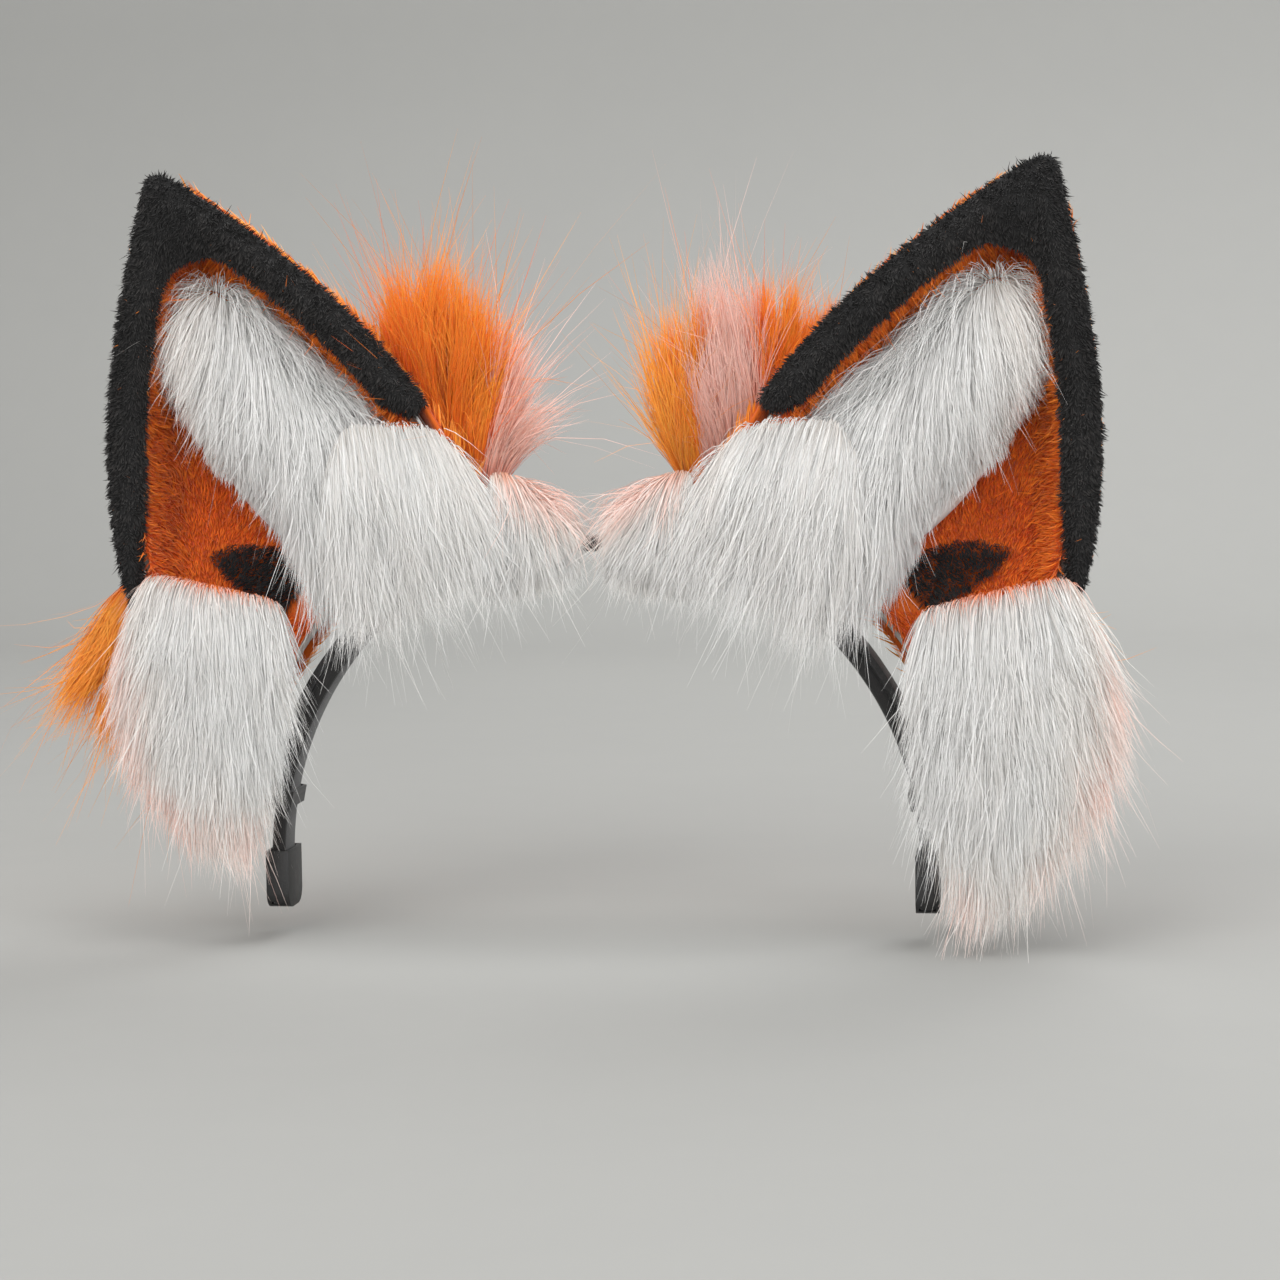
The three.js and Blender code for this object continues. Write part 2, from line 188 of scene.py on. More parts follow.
mm = 0.001
sides = {"right": 1, "left": -1}   # the open cups face -Y, and right is +X
print("frame loaded:", len(nodes), "nodes")


# Camera, lights and backdrop

view = {"distance": 0.70, "azimuth": 7.6, "elevation": 5.0, "roll": -0.74,
        "aim": (10, 0, -20.5), "lens": 83.2, "sensor": 36.0}
studio = {"wall": 1.1, "front": 6.0, "halfWidth": 5.0, "height": 3.0, "bend": 0.35, "bendSteps": 12,
          "worldGrey": 0.70, "worldStrength": 0.75}
lamps = {
    "keyLamp": {"place": (-0.55, -1.15, 1.05), "size": 1.1, "power": 10.0, "colour": (1.0, 0.985, 0.965)},
    "fillLamp": {"place": (0.95, -1.0, 0.45), "size": 1.2, "power": 6.5, "colour": (0.96, 0.98, 1.0)},
    "frontLamp": {"place": (0.12, -1.3, 0.1), "size": 0.9, "power": 4.5, "colour": (1.0, 1.0, 1.0)},
    "topLamp": {"place": (0.0, -0.1, 1.35), "size": 1.0, "power": 7.0, "colour": (1.0, 1.0, 1.0)},
    "rearLamp": {"place": (0.35, 0.85, 0.8), "size": 0.9, "power": 6.0, "colour": (1.0, 1.0, 1.0)},
}


def addCamera():
    middle = (cadBox[0] + cadBox[1]) / 2
    target = Vector((middle.x, 0, middle.z)) + Vector(view["aim"]) * mm
    azimuth, elevation, roll = (math.radians(view[k]) for k in ("azimuth", "elevation", "roll"))
    back = Vector((math.sin(azimuth) * math.cos(elevation), -math.cos(azimuth) * math.cos(elevation), math.sin(elevation)))
    across = Vector((math.cos(azimuth), math.sin(azimuth), 0))
    up = back.cross(across)
    turned = (across * math.cos(roll) + up * math.sin(roll), up * math.cos(roll) - across * math.sin(roll), back)
    camera = bpy.data.objects.new("camera", bpy.data.cameras.new("camera"))
    camera.data.lens, camera.data.sensor_width, camera.data.clip_start = view["lens"], view["sensor"], 0.01
    camera.matrix_world = Matrix.Translation(target + back * view["distance"]) @ Matrix(turned).transposed().to_4x4()
    bpy.context.collection.objects.link(camera)
    bpy.context.scene.camera = camera


def addLamps():
    aim = (cadBox[0] + cadBox[1]) / 2
    for name, lamp in lamps.items():
        light = bpy.data.lights.new(name, "AREA")
        light.shape, light.size, light.energy, light.color = "DISK", lamp["size"], lamp["power"], lamp["colour"]
        holder = bpy.data.objects.new(name, light)
        holder.location = Vector(lamp["place"])
        holder.rotation_euler = (Vector(lamp["place"]) - aim).to_track_quat("Z", "Y").to_euler()
        bpy.context.collection.objects.link(holder)
    world = bpy.data.worlds.new("paleRoom")
    world.use_nodes = True
    ground = world.node_tree.nodes["Background"]
    ground.inputs["Color"].default_value = (*[studio["worldGrey"]] * 3, 1)
    ground.inputs["Strength"].default_value = studio["worldStrength"]
    bpy.context.scene.world = world


# Node helpers

def openSocket(sockets, name):
    if isinstance(name, int):
        return sockets[name]
    return next(s for s in sockets if s.name == name and s.enabled)


def addNode(tree, kind, values=None, **settings):
    node = tree.nodes.new(kind)
    for key, value in settings.items():
        setattr(node, key, value)
    for name, value in (values or {}).items():
        socket = openSocket(node.inputs, name)
        if isinstance(value, bpy.types.NodeSocket):
            tree.links.new(value, socket)
        else:
            socket.default_value = value
    return node


def sums(tree, operation, *values):
    return addNode(tree, "ShaderNodeMath", dict(enumerate(values)), operation=operation).outputs[0]


def vectors(tree, operation, *values):
    slots = (0, 3) if operation == "SCALE" else (0, 1, 2)
    node = addNode(tree, "ShaderNodeVectorMath", dict(zip(slots, values)), operation=operation)
    return node.outputs["Value" if operation in ("LENGTH", "DOT_PRODUCT") else "Vector"]


def rampNode(tree, fac, stops):
    node = addNode(tree, "ShaderNodeValToRGB", {"Fac": fac})
    marks = node.color_ramp.elements
    while len(marks) < len(stops):
        marks.new(0.5)
    for mark, (place, colour) in zip(marks, stops):
        mark.position, mark.color = place, (*colour, 1)
    return node.outputs["Color"]


def newGroup(name, kind, inputs, outputs):
    tree = bpy.data.node_groups.new(name, kind)
    for title, socket, value in inputs:
        made = tree.interface.new_socket(title, in_out="INPUT", socket_type="NodeSocket" + socket)
        if value is not None:
            made.default_value = value
    for title, socket in outputs:
        tree.interface.new_socket(title, in_out="OUTPUT", socket_type="NodeSocket" + socket)
    return tree, tree.nodes.new("NodeGroupInput").outputs, tree.nodes.new("NodeGroupOutput").inputs


# Shared shader groups

def buildStrandParts():
    # splits a strand's map: eight dye steps across, each with its own shade, and root to tip upward
    tree, given, made = newGroup("strandParts", "ShaderNodeTree", [("Map", "Vector", None)],
                                 [("Dye", "Float"), ("Shade", "Float"), ("Along", "Float")])
    parts = addNode(tree, "ShaderNodeSeparateXYZ", {0: given["Map"]})
    eighths = sums(tree, "MULTIPLY", parts.outputs["X"], 8.0)
    tree.links.new(sums(tree, "DIVIDE", sums(tree, "FLOOR", eighths), 7.0), made["Dye"])
    tree.links.new(sums(tree, "FRACT", eighths), made["Shade"])
    tree.links.new(parts.outputs["Y"], made["Along"])
    return tree


def buildStrandColour():
    # root colour into tip colour, darker at the root, with some strands lighter than others
    tree, given, made = newGroup("strandColour", "ShaderNodeTree",
        [("Root", "Color", None), ("Tip", "Color", None), ("Along", "Float", 0.0), ("Shade", "Float", 0.5),
         ("Reach", "Float", 0.4), ("Root Shadow", "Float", 0.3), ("Variation", "Float", 0.2), ("Roughness", "Float", 0.6)],
        [("Colour", "Color"), ("Roughness", "Float")])
    climb = addNode(tree, "ShaderNodeMapRange", {"Value": given["Along"], "From Min": 0.0, "From Max": given["Reach"]},
                    interpolation_type="SMOOTHSTEP").outputs[0]
    blend = addNode(tree, "ShaderNodeMix", {"Factor": climb, "A": given["Root"], "B": given["Tip"]}, data_type="RGBA")
    dim = sums(tree, "SUBTRACT", 1.0, sums(tree, "MULTIPLY", given["Root Shadow"], sums(tree, "SUBTRACT", 1.0, climb)))
    lighter = sums(tree, "SUBTRACT", given["Shade"], 0.6)
    spread = sums(tree, "ADD", 1.0, sums(tree, "MULTIPLY", given["Variation"], lighter))
    tone = vectors(tree, "SCALE", blend.outputs[2], sums(tree, "MULTIPLY", dim, spread))
    tree.links.new(tone, made["Colour"])
    uneven = sums(tree, "MULTIPLY", sums(tree, "SUBTRACT", given["Shade"], 0.5), 0.2)
    rough = sums(tree, "ADD", given["Roughness"], uneven)
    tree.links.new(rough, made["Roughness"])
    return tree


def buildThreads():
    # crossing threads, for woven backing, ribbon, felt and thread windings
    tree, given, made = newGroup("threads", "ShaderNodeTree",
        [("Vector", "Vector", None), ("Threads", "Float", 900.0), ("Cross Threads", "Float", 900.0),
         ("Uneven", "Float", 0.25)], [("Height", "Float"), ("Gaps", "Float"), ("Fuzz", "Float")])
    parts = addNode(tree, "ShaderNodeSeparateXYZ", {0: given["Vector"]})
    fuzz = addNode(tree, "ShaderNodeTexNoise",
                   {"Vector": given["Vector"], "Scale": sums(tree, "MULTIPLY", given["Threads"], 0.45),
                    "Detail": 4.0, "Roughness": 0.65}).outputs["Fac"]
    waves = []
    for axis, count in (("X", "Threads"), ("Y", "Cross Threads")):
        place = sums(tree, "MULTIPLY", parts.outputs[axis], sums(tree, "MULTIPLY", given[count], 2 * math.pi))
        nudged = sums(tree, "ADD", place, sums(tree, "MULTIPLY", fuzz, sums(tree, "MULTIPLY", given["Uneven"], 6.0)))
        waves.append(sums(tree, "ABSOLUTE", sums(tree, "SINE", nudged)))
    height = sums(tree, "MAXIMUM", waves[0], waves[1])
    tree.links.new(sums(tree, "ADD", height, sums(tree, "MULTIPLY", fuzz, 0.5)), made["Height"])
    tree.links.new(sums(tree, "SUBTRACT", 1.0, height), made["Gaps"])
    tree.links.new(fuzz, made["Fuzz"])
    return tree


def buildGrain():
    # fine and coarse grain in one, for wire, steel, cap, felt and foam
    tree, given, made = newGroup("grain", "ShaderNodeTree",
        [("Vector", "Vector", None), ("Fine", "Float", 3000.0), ("Coarse", "Float", 300.0), ("Share", "Float", 0.5)],
        [("Height", "Float"), ("Patches", "Float")])
    fine, coarse = (addNode(tree, "ShaderNodeTexNoise", {"Vector": given["Vector"], "Scale": given[size],
                                                         "Detail": detail}).outputs["Fac"]
                    for size, detail in (("Fine", 3.0), ("Coarse", 4.0)))
    mixed = addNode(tree, "ShaderNodeMix", {"Factor": given["Share"], 2: fine, 3: coarse}).outputs[0]
    tree.links.new(mixed, made["Height"])
    tree.links.new(coarse, made["Patches"])
    return tree


strandParts, strandColour = buildStrandParts(), buildStrandColour()
threads, grain = buildThreads(), buildGrain()


# Materials

def newMaterial(name, **values):
    material = bpy.data.materials.new(name)
    material.use_nodes = True
    shader = material.node_tree.nodes["Principled BSDF"]
    for key, value in values.items():
        shader.inputs[key.replace("_", " ")].default_value = value
    return material, material.node_tree, shader


def furMaterial(name, tips, roots, reach=0.4, rootShadow=0.35, variation=0.25, rough=0.6, sheen=0.2, mapName="OFBake"):
    material, tree, shader = newMaterial(name, Sheen_Weight=sheen, Sheen_Roughness=0.5, Specular_IOR_Level=0.35)
    uv = addNode(tree, "ShaderNodeUVMap", uv_map=mapName).outputs[0]
    parts = addNode(tree, "ShaderNodeGroup", {}, node_tree=strandParts)
    tree.links.new(uv, parts.inputs["Map"])
    dye = parts.outputs["Dye"]
    colour = addNode(tree, "ShaderNodeGroup", {}, node_tree=strandColour)
    for key, value in {"Root": rampNode(tree, dye, roots), "Tip": rampNode(tree, dye, tips),
                       "Along": parts.outputs["Along"], "Shade": parts.outputs["Shade"]}.items():
        tree.links.new(value, colour.inputs[key])
    for key, value in {"Reach": reach, "Root Shadow": rootShadow, "Variation": variation, "Roughness": rough}.items():
        colour.inputs[key].default_value = value
    tree.links.new(colour.outputs["Colour"], shader.inputs["Base Color"])
    tree.links.new(colour.outputs["Roughness"], shader.inputs["Roughness"])
    return material


def clothMaterial(name, dark, light, count, cross, bump, rough, sheen, mapName=None, uneven=0.25):
    material, tree, shader = newMaterial(name, Sheen_Weight=sheen, Sheen_Roughness=0.45, Specular_IOR_Level=0.3)
    if mapName:
        place = addNode(tree, "ShaderNodeUVMap", uv_map=mapName).outputs[0]
    else:
        place = addNode(tree, "ShaderNodeTexCoord").outputs["Object"]
    weave = addNode(tree, "ShaderNodeGroup", {}, node_tree=threads)
    tree.links.new(place, weave.inputs["Vector"])
    weave.inputs["Threads"].default_value, weave.inputs["Cross Threads"].default_value = count, cross
    weave.inputs["Uneven"].default_value = uneven
    tree.links.new(rampNode(tree, weave.outputs["Height"], [(0.15, dark), (1.0, light)]), shader.inputs["Base Color"])
    shading = addNode(tree, "ShaderNodeMapRange",
                      {"Value": weave.outputs["Fuzz"], "To Min": rough - 0.08, "To Max": rough + 0.08})
    tree.links.new(shading.outputs[0], shader.inputs["Roughness"])
    bumped = addNode(tree, "ShaderNodeBump", {"Height": weave.outputs["Height"], "Strength": 0.8, "Distance": bump * mm})
    tree.links.new(bumped.outputs[0], shader.inputs["Normal"])
    return material


def grainMaterial(name, dark, light, fine, coarse, share, bump, rough, metal=0.0, sheen=0.0):
    material, tree, shader = newMaterial(name, Metallic=metal, Sheen_Weight=sheen)
    speck = addNode(tree, "ShaderNodeGroup", {}, node_tree=grain)
    tree.links.new(addNode(tree, "ShaderNodeTexCoord").outputs["Object"], speck.inputs["Vector"])
    for key, value in {"Fine": fine, "Coarse": coarse, "Share": share}.items():
        speck.inputs[key].default_value = value
    tree.links.new(rampNode(tree, speck.outputs["Height"], [(0.3, dark), (0.7, light)]), shader.inputs["Base Color"])
    shading = addNode(tree, "ShaderNodeMapRange",
                      {"Value": speck.outputs["Patches"], "To Min": rough - 0.1, "To Max": rough + 0.1})
    tree.links.new(shading.outputs[0], shader.inputs["Roughness"])
    bumped = addNode(tree, "ShaderNodeBump", {"Height": speck.outputs["Height"], "Strength": 0.7, "Distance": bump * mm})
    tree.links.new(bumped.outputs[0], shader.inputs["Normal"])
    return material


# dye steps run from plain white through warm white and pink to orange
whiteTips = [(0.0, (0.83, 0.825, 0.812)), (0.28, (0.86, 0.825, 0.79)), (0.5, (0.93, 0.72, 0.65)),
             (0.75, (0.92, 0.46, 0.36)), (1.0, (0.95, 0.25, 0.03))]
whiteRoots = [(0.0, (0.82, 0.81, 0.79)), (0.28, (0.85, 0.76, 0.68)), (0.5, (0.88, 0.48, 0.34)),
              (0.75, (0.90, 0.25, 0.06)), (1.0, (0.92, 0.17, 0.015))]
orangeTips = [(0.0, (1.0, 0.42, 0.05)), (0.35, (1.0, 0.28, 0.018)), (0.6, (0.92, 0.14, 0.01)),
              (0.8, (0.95, 0.54, 0.42)), (1.0, (0.94, 0.62, 0.54))]
orangeRoots = [(0.0, (0.98, 0.24, 0.015)), (0.4, (0.92, 0.14, 0.01)), (0.7, (0.85, 0.09, 0.015)), (1.0, (0.94, 0.44, 0.34))]
plushTips = [(0.0, (1.0, 0.27, 0.022)), (0.5, (1.0, 0.19, 0.013)), (1.0, (0.92, 0.11, 0.009))]
plushRoots = [(0.0, (0.97, 0.17, 0.010)), (1.0, (0.86, 0.09, 0.006))]
napTips = [(0.0, (0.020, 0.019, 0.019)), (0.6, (0.034, 0.031, 0.030)), (1.0, (0.060, 0.055, 0.052))]
napRoots = [(0.0, (0.008, 0.008, 0.008)), (1.0, (0.012, 0.011, 0.011))]

whiteFur = furMaterial("whiteFur", whiteTips, whiteRoots, reach=0.3, rootShadow=0.12, variation=0.14, rough=0.5)
orangeFur = furMaterial("orangeFur", orangeTips, orangeRoots, reach=0.45, rootShadow=0.08, variation=0.3, rough=0.5)
orangePlush = furMaterial("orangePlush", plushTips, plushRoots, reach=0.8, rootShadow=0.1, variation=0.35, rough=0.65)
blackPlush = furMaterial("blackPlush", napTips, napRoots, reach=0.9, rootShadow=0.2, variation=0.7, rough=0.75, sheen=0.12)
orangeBacking = clothMaterial("orangeBacking", (0.40, 0.05, 0.006), (0.70, 0.13, 0.012), 700, 700, 0.12, 0.8, 0.2)
sleeveVelvet = clothMaterial("sleeveVelvet", (0.006, 0.006, 0.006), (0.022, 0.021, 0.021), 950, 950, 0.1, 0.8, 0.3,
                             mapName="weave")
threadBlack = clothMaterial("threadBlack", (0.008, 0.008, 0.008), (0.035, 0.034, 0.033), 1300, 420, 0.12, 0.55, 0.1)
padFelt = grainMaterial("padFelt", (0.008, 0.008, 0.008), (0.030, 0.028, 0.028), 1800, 420, 0.35, 0.25, 0.85, sheen=0.15)
capBlack = grainMaterial("capBlack", (0.010, 0.010, 0.010), (0.024, 0.023, 0.023), 2600, 500, 0.4, 0.08, 0.5)
springSteel = grainMaterial("springSteel", (0.42, 0.42, 0.43), (0.58, 0.57, 0.56), 1500, 120, 0.5, 0.03, 0.32, metal=1.0)
frameWire = grainMaterial("frameWire", (0.34, 0.33, 0.32), (0.52, 0.51, 0.49), 2400, 200, 0.5, 0.04, 0.38, metal=1.0)
stiffFoam = grainMaterial("stiffFoam", (0.62, 0.60, 0.55), (0.80, 0.78, 0.73), 1400, 600, 0.5, 0.3, 0.9)
print("materials ready")


# The fur: one tree grows every strand of pile

furSizes = [("Strands", "Float", 4e6), ("Seed", "Int", 1), ("Segments", "Int", 4), ("Strand Width", "Float", 0.00025),
            ("Length Spread", "Float", 0.25), ("Clump Size", "Float", 0.006), ("Clump Pull", "Float", 0.4),
            ("Clump Spread", "Float", 0.1), ("Wave", "Float", 0.001), ("Wave Size", "Float", 0.012),
            ("Stray", "Float", 0.06), ("Wildness", "Float", 3.0), ("Roll", "Float", 0.9),
            ("Dye Spread", "Float", 1.5), ("Keep Skin", "Bool", True), ("Skin Share", "Float", 1.0),
            ("Room Low", "Vector", (-1, -1, -1)), ("Room High", "Vector", (1, 1, 1)), ("Material", "Material", None)]


def buildFurPile():
    tree, given, made = newGroup("furPile", "GeometryNodeTree", [("Skin", "Geometry", None)] + furSizes,
                                 [("Fur", "Geometry")])

    def attribute(name, kind="FLOAT_VECTOR"):
        return addNode(tree, "GeometryNodeInputNamedAttribute", {"Name": name}, data_type=kind).outputs["Attribute"]

    def store(geometry, name, value, kind="FLOAT_VECTOR", domain="POINT"):
        return addNode(tree, "GeometryNodeStoreNamedAttribute", {"Geometry": geometry, "Name": name, "Value": value},
                       data_type=kind, domain=domain).outputs[0]

    def chance(offset, low=(0, 0, 0), high=(1, 1, 1)):
        node = addNode(tree, "FunctionNodeRandomValue",
                       {"Min": low, "Max": high, "Seed": sums(tree, "ADD", given["Seed"], offset)}, data_type="FLOAT_VECTOR")
        return node.outputs["Value"]

    spots = addNode(tree, "GeometryNodeDistributePointsOnFaces",
                    {"Mesh": given["Skin"], "Density": sums(tree, "MULTIPLY", given["Strands"], attribute("cover", "FLOAT")),
                     "Seed": given["Seed"]}, distribute_method="RANDOM")
    place = addNode(tree, "GeometryNodeInputPosition").outputs[0]
    luck = addNode(tree, "ShaderNodeSeparateXYZ", {0: chance(11.0)}).outputs
    length = sums(tree, "MULTIPLY", attribute("pileLength", "FLOAT"),
                  sums(tree, "SUBTRACT", 1.0, sums(tree, "MULTIPLY", luck[0], given["Length Spread"])))
    wild = sums(tree, "POWER", addNode(tree, "ShaderNodeSeparateXYZ", {0: chance(29.0)}).outputs[0], 8.0)
    half = sums(tree, "MULTIPLY", length, sums(tree, "ADD", 0.5, sums(tree, "MULTIPLY", wild, 0.2)))
    cells = addNode(tree, "ShaderNodeTexVoronoi", {"Vector": place, "Scale": sums(tree, "DIVIDE", 1.0, given["Clump Size"])})
    pull = vectors(tree, "SCALE", vectors(tree, "SUBTRACT", cells.outputs["Position"], place), given["Clump Pull"])
    lean = vectors(tree, "SCALE", vectors(tree, "SUBTRACT", cells.outputs["Color"], (0.5, 0.5, 0.5)),
                   sums(tree, "MULTIPLY", given["Clump Spread"], 2.0))
    loose = sums(tree, "ADD", 0.5, sums(tree, "MULTIPLY", wild, given["Wildness"]))
    stray = vectors(tree, "SCALE", chance(23.0, (-1, -1, -1)), sums(tree, "MULTIPLY", given["Stray"], loose))
    bend = vectors(tree, "SCALE", attribute("rootDir"), half)
    tipward = vectors(tree, "ADD", attribute("tipDir"), vectors(tree, "ADD", lean, stray))
    reach = vectors(tree, "ADD", bend, vectors(tree, "SCALE", tipward, half))
    level = sums(tree, "ROUND", sums(tree, "ADD", sums(tree, "MULTIPLY", attribute("tint", "FLOAT"), 7.0),
                                     sums(tree, "MULTIPLY", sums(tree, "SUBTRACT", luck[1], 0.5), given["Dye Spread"])))
    level = sums(tree, "MINIMUM", sums(tree, "MAXIMUM", level, 0.0), 7.0)
    shade = sums(tree, "ADD", 0.1, sums(tree, "MULTIPLY", luck[2], 0.8))
    across = sums(tree, "DIVIDE", sums(tree, "ADD", level, shade), 8.0)
    roots = spots.outputs["Points"]
    # each root keeps its own twist in "chance", drawn once
    for name, value in (("chance", chance(37.0)), ("root", place), ("outward", spots.outputs["Normal"]),
                        ("bend", bend), ("reach", reach), ("pull", pull)):
        roots = store(roots, name, value)
    roots = store(roots, "across", across, "FLOAT")

    blade = addNode(tree, "GeometryNodeMeshGrid", {"Size X": 1.0, "Size Y": 1.0, "Vertices X": 2,
                                                  "Vertices Y": sums(tree, "ADD", given["Segments"], 1.0)}).outputs["Mesh"]
    corner = addNode(tree, "ShaderNodeSeparateXYZ", {0: place}).outputs
    blade = store(blade, "along", sums(tree, "ADD", corner[1], 0.5), "FLOAT")
    blade = store(blade, "edge", sums(tree, "MULTIPLY", corner[0], 2.0), "FLOAT")
    strands = addNode(tree, "GeometryNodeInstanceOnPoints", {"Points": roots, "Instance": blade}).outputs[0]
    strands = addNode(tree, "GeometryNodeRealizeInstances", {"Geometry": strands}).outputs[0]

    along, edge = attribute("along", "FLOAT"), attribute("edge", "FLOAT")
    rest = sums(tree, "SUBTRACT", 1.0, along)
    arch = vectors(tree, "SCALE", attribute("bend"), sums(tree, "MULTIPLY", sums(tree, "MULTIPLY", along, rest), 2.0))
    swing = vectors(tree, "SCALE", attribute("reach"), sums(tree, "MULTIPLY", along, along))
    gather = vectors(tree, "SCALE", attribute("pull"), sums(tree, "POWER", along, 1.5))
    line = vectors(tree, "ADD", vectors(tree, "ADD", attribute("root"), arch), vectors(tree, "ADD", swing, gather))
    ripple = addNode(tree, "ShaderNodeTexNoise",
                     {"Vector": line, "Scale": sums(tree, "DIVIDE", 1.0, given["Wave Size"]), "Detail": 1.0})
    ripple = vectors(tree, "SCALE", vectors(tree, "SUBTRACT", ripple.outputs["Color"], (0.5, 0.5, 0.5)),
                     sums(tree, "MULTIPLY", sums(tree, "MULTIPLY", given["Wave"], 4.0), along))
    slope = vectors(tree, "ADD", vectors(tree, "SCALE", attribute("bend"), sums(tree, "SUBTRACT", rest, along)),
                    vectors(tree, "SCALE", attribute("reach"), along))
    twist = vectors(tree, "NORMALIZE", vectors(tree, "SUBTRACT", attribute("chance"), (0.5, 0.5, 0.5)))
    twist = vectors(tree, "SCALE", twist, given["Roll"])
    facing = vectors(tree, "ADD", attribute("outward"), twist)
    width = vectors(tree, "NORMALIZE", vectors(tree, "CROSS_PRODUCT", slope, facing))
    taper = sums(tree, "SUBTRACT", 1.0, sums(tree, "MULTIPLY", sums(tree, "POWER", along, 2.0), 0.88))
    width = vectors(tree, "SCALE", width, sums(tree, "MULTIPLY", sums(tree, "MULTIPLY", edge, taper),
                                               sums(tree, "MULTIPLY", given["Strand Width"], 0.5)))
    spine = vectors(tree, "MAXIMUM", vectors(tree, "ADD", line, ripple), given["Room Low"])
    spine = vectors(tree, "MINIMUM", spine, given["Room High"])
    strands = addNode(tree, "GeometryNodeSetPosition",
                      {"Geometry": strands, "Position": vectors(tree, "ADD", spine, width)}).outputs[0]
    mapped = addNode(tree, "ShaderNodeCombineXYZ",
                     {0: sums(tree, "ADD", attribute("across", "FLOAT"), sums(tree, "MULTIPLY", edge, 0.002)),
                      1: sums(tree, "ADD", 0.06, sums(tree, "MULTIPLY", along, 0.92))}).outputs[0]
    strands = store(strands, "OFBake", mapped, "FLOAT2", "CORNER")

    flat = addNode(tree, "ShaderNodeSeparateXYZ", {0: place}).outputs
    skinAcross = sums(tree, "DIVIDE", sums(tree, "ADD", sums(tree, "MULTIPLY", attribute("tint", "FLOAT"), 6.8), 0.5), 8.0)
    mapped = addNode(tree, "ShaderNodeCombineXYZ",
                     {0: sums(tree, "ADD", skinAcross, sums(tree, "MULTIPLY", flat[0], 0.08)),
                      1: sums(tree, "ADD", 0.03, sums(tree, "MULTIPLY", flat[2], 0.15))}).outputs[0]
    skin = store(given["Skin"], "OFBake", mapped, "FLOAT2", "CORNER")
    middle = addNode(tree, "GeometryNodeAttributeStatistic", {"Geometry": skin, "Attribute": place},
                     data_type="FLOAT_VECTOR").outputs["Mean"]
    shrunk = vectors(tree, "SCALE", vectors(tree, "SUBTRACT", place, middle), given["Skin Share"])
    shrunk = vectors(tree, "ADD", middle, shrunk)
    skin = addNode(tree, "GeometryNodeSetPosition", {"Geometry": skin, "Position": shrunk}).outputs[0]
    kept = addNode(tree, "GeometryNodeSwitch", {"Switch": given["Keep Skin"], "True": skin},
                   input_type="GEOMETRY").outputs[0]
    joined = addNode(tree, "GeometryNodeJoinGeometry")
    tree.links.new(kept, joined.inputs[0])
    tree.links.new(strands, joined.inputs[0])
    solid = addNode(tree, "GeometryNodeRealizeInstances", {"Geometry": joined.outputs[0]}).outputs[0]
    dyed = addNode(tree, "GeometryNodeSetMaterial", {"Geometry": solid, "Material": given["Material"]}).outputs[0]
    tree.links.new(dyed, made["Fur"])
    return tree


furPile = buildFurPile()


def freeze(piece):
    # applies everything on a piece, and leaves a plain mesh
    graph = bpy.context.evaluated_depsgraph_get()
    mesh = bpy.data.meshes.new_from_object(piece.evaluated_get(graph))
    piece.modifiers.clear()
    piece.data = mesh
    mesh.name = piece.name
    return piece


def newPiece(name, bm, material=None, smooth=True):
    mesh = bpy.data.meshes.new(name)
    for face in bm.faces:
        face.smooth = smooth
    bm.to_mesh(mesh)
    bm.free()
    piece = bpy.data.objects.new(name, mesh)
    bpy.context.collection.objects.link(piece)
    if material:
        mesh.materials.append(material)
    return piece


def mergedCopy(node):
    bm = bmesh.new()
    bm.from_mesh(nodes[node].data)
    bmesh.ops.remove_doubles(bm, verts=bm.verts, dist=1e-6)
    bmesh.ops.join_triangles(bm, faces=bm.faces, angle_face_threshold=0.5, angle_shape_threshold=0.9)
    bm.normal_update()
    return bm


def smoothed(name, bm, levels, material=None, relax=0):
    piece = newPiece(name, bm, material)
    if relax:
        softening = piece.modifiers.new("softening", "SMOOTH")
        softening.factor, softening.iterations = 0.5, relax
    rounding = piece.modifiers.new("rounding", "SUBSURF")
    rounding.levels = rounding.render_levels = levels
    return freeze(piece)


def growFur(skin, sign, look, flow, material):
    # flow gives root direction, tip direction, length, dye and cover for a place and its normal, on the +X side
    mesh = skin.data
    flip = Vector((sign, 1, 1))
    columns = {"rootDir": [], "tipDir": [], "pileLength": [], "tint": [], "cover": []}
    for vertex in mesh.vertices:
        root, tip, length, tint, cover = flow(vertex.co * flip / mm, vertex.normal * flip, sign)
        columns["rootDir"].extend(root.normalized() * flip)
        columns["tipDir"].extend(tip.normalized() * flip)
        columns["pileLength"].append(length * mm)
        columns["tint"].append(tint)
        columns["cover"].append(cover)
    for key, values in columns.items():
        turned = key.endswith("Dir")
        made = mesh.attributes.new(key, "FLOAT_VECTOR" if turned else "FLOAT", "POINT")
        made.data.foreach_set("vector" if turned else "value", values)
    growing = skin.modifiers.new("fur", "NODES")
    growing.node_group = furPile
    names = {s.name: s.identifier for s in furPile.interface.items_tree if s.in_out == "INPUT"}
    for key, value in look.items():
        growing[names[key]] = value
    growing[names["Material"]] = material
    # no hair may stand further out than this
    room = 0.03 * (cadBox[1] - cadBox[0]) + Vector((9, 9, 9)) * mm
    growing[names["Room Low"]], growing[names["Room High"]] = cadBox[0] - room, cadBox[1] + room
    freeze(skin)
    for key in (*columns, "root", "outward", "bend", "reach", "pull", "across", "along", "edge", "chance"):
        if key in skin.data.attributes:
            skin.data.attributes.remove(skin.data.attributes[key])
    skin.data.uv_layers.active = skin.data.uv_layers["OFBake"]
    return skin


def away(place, focus):
    # direction in the ear's plane, from a focus to a place
    return Vector((place.x - focus[0], 0, place.z - focus[1])).normalized()


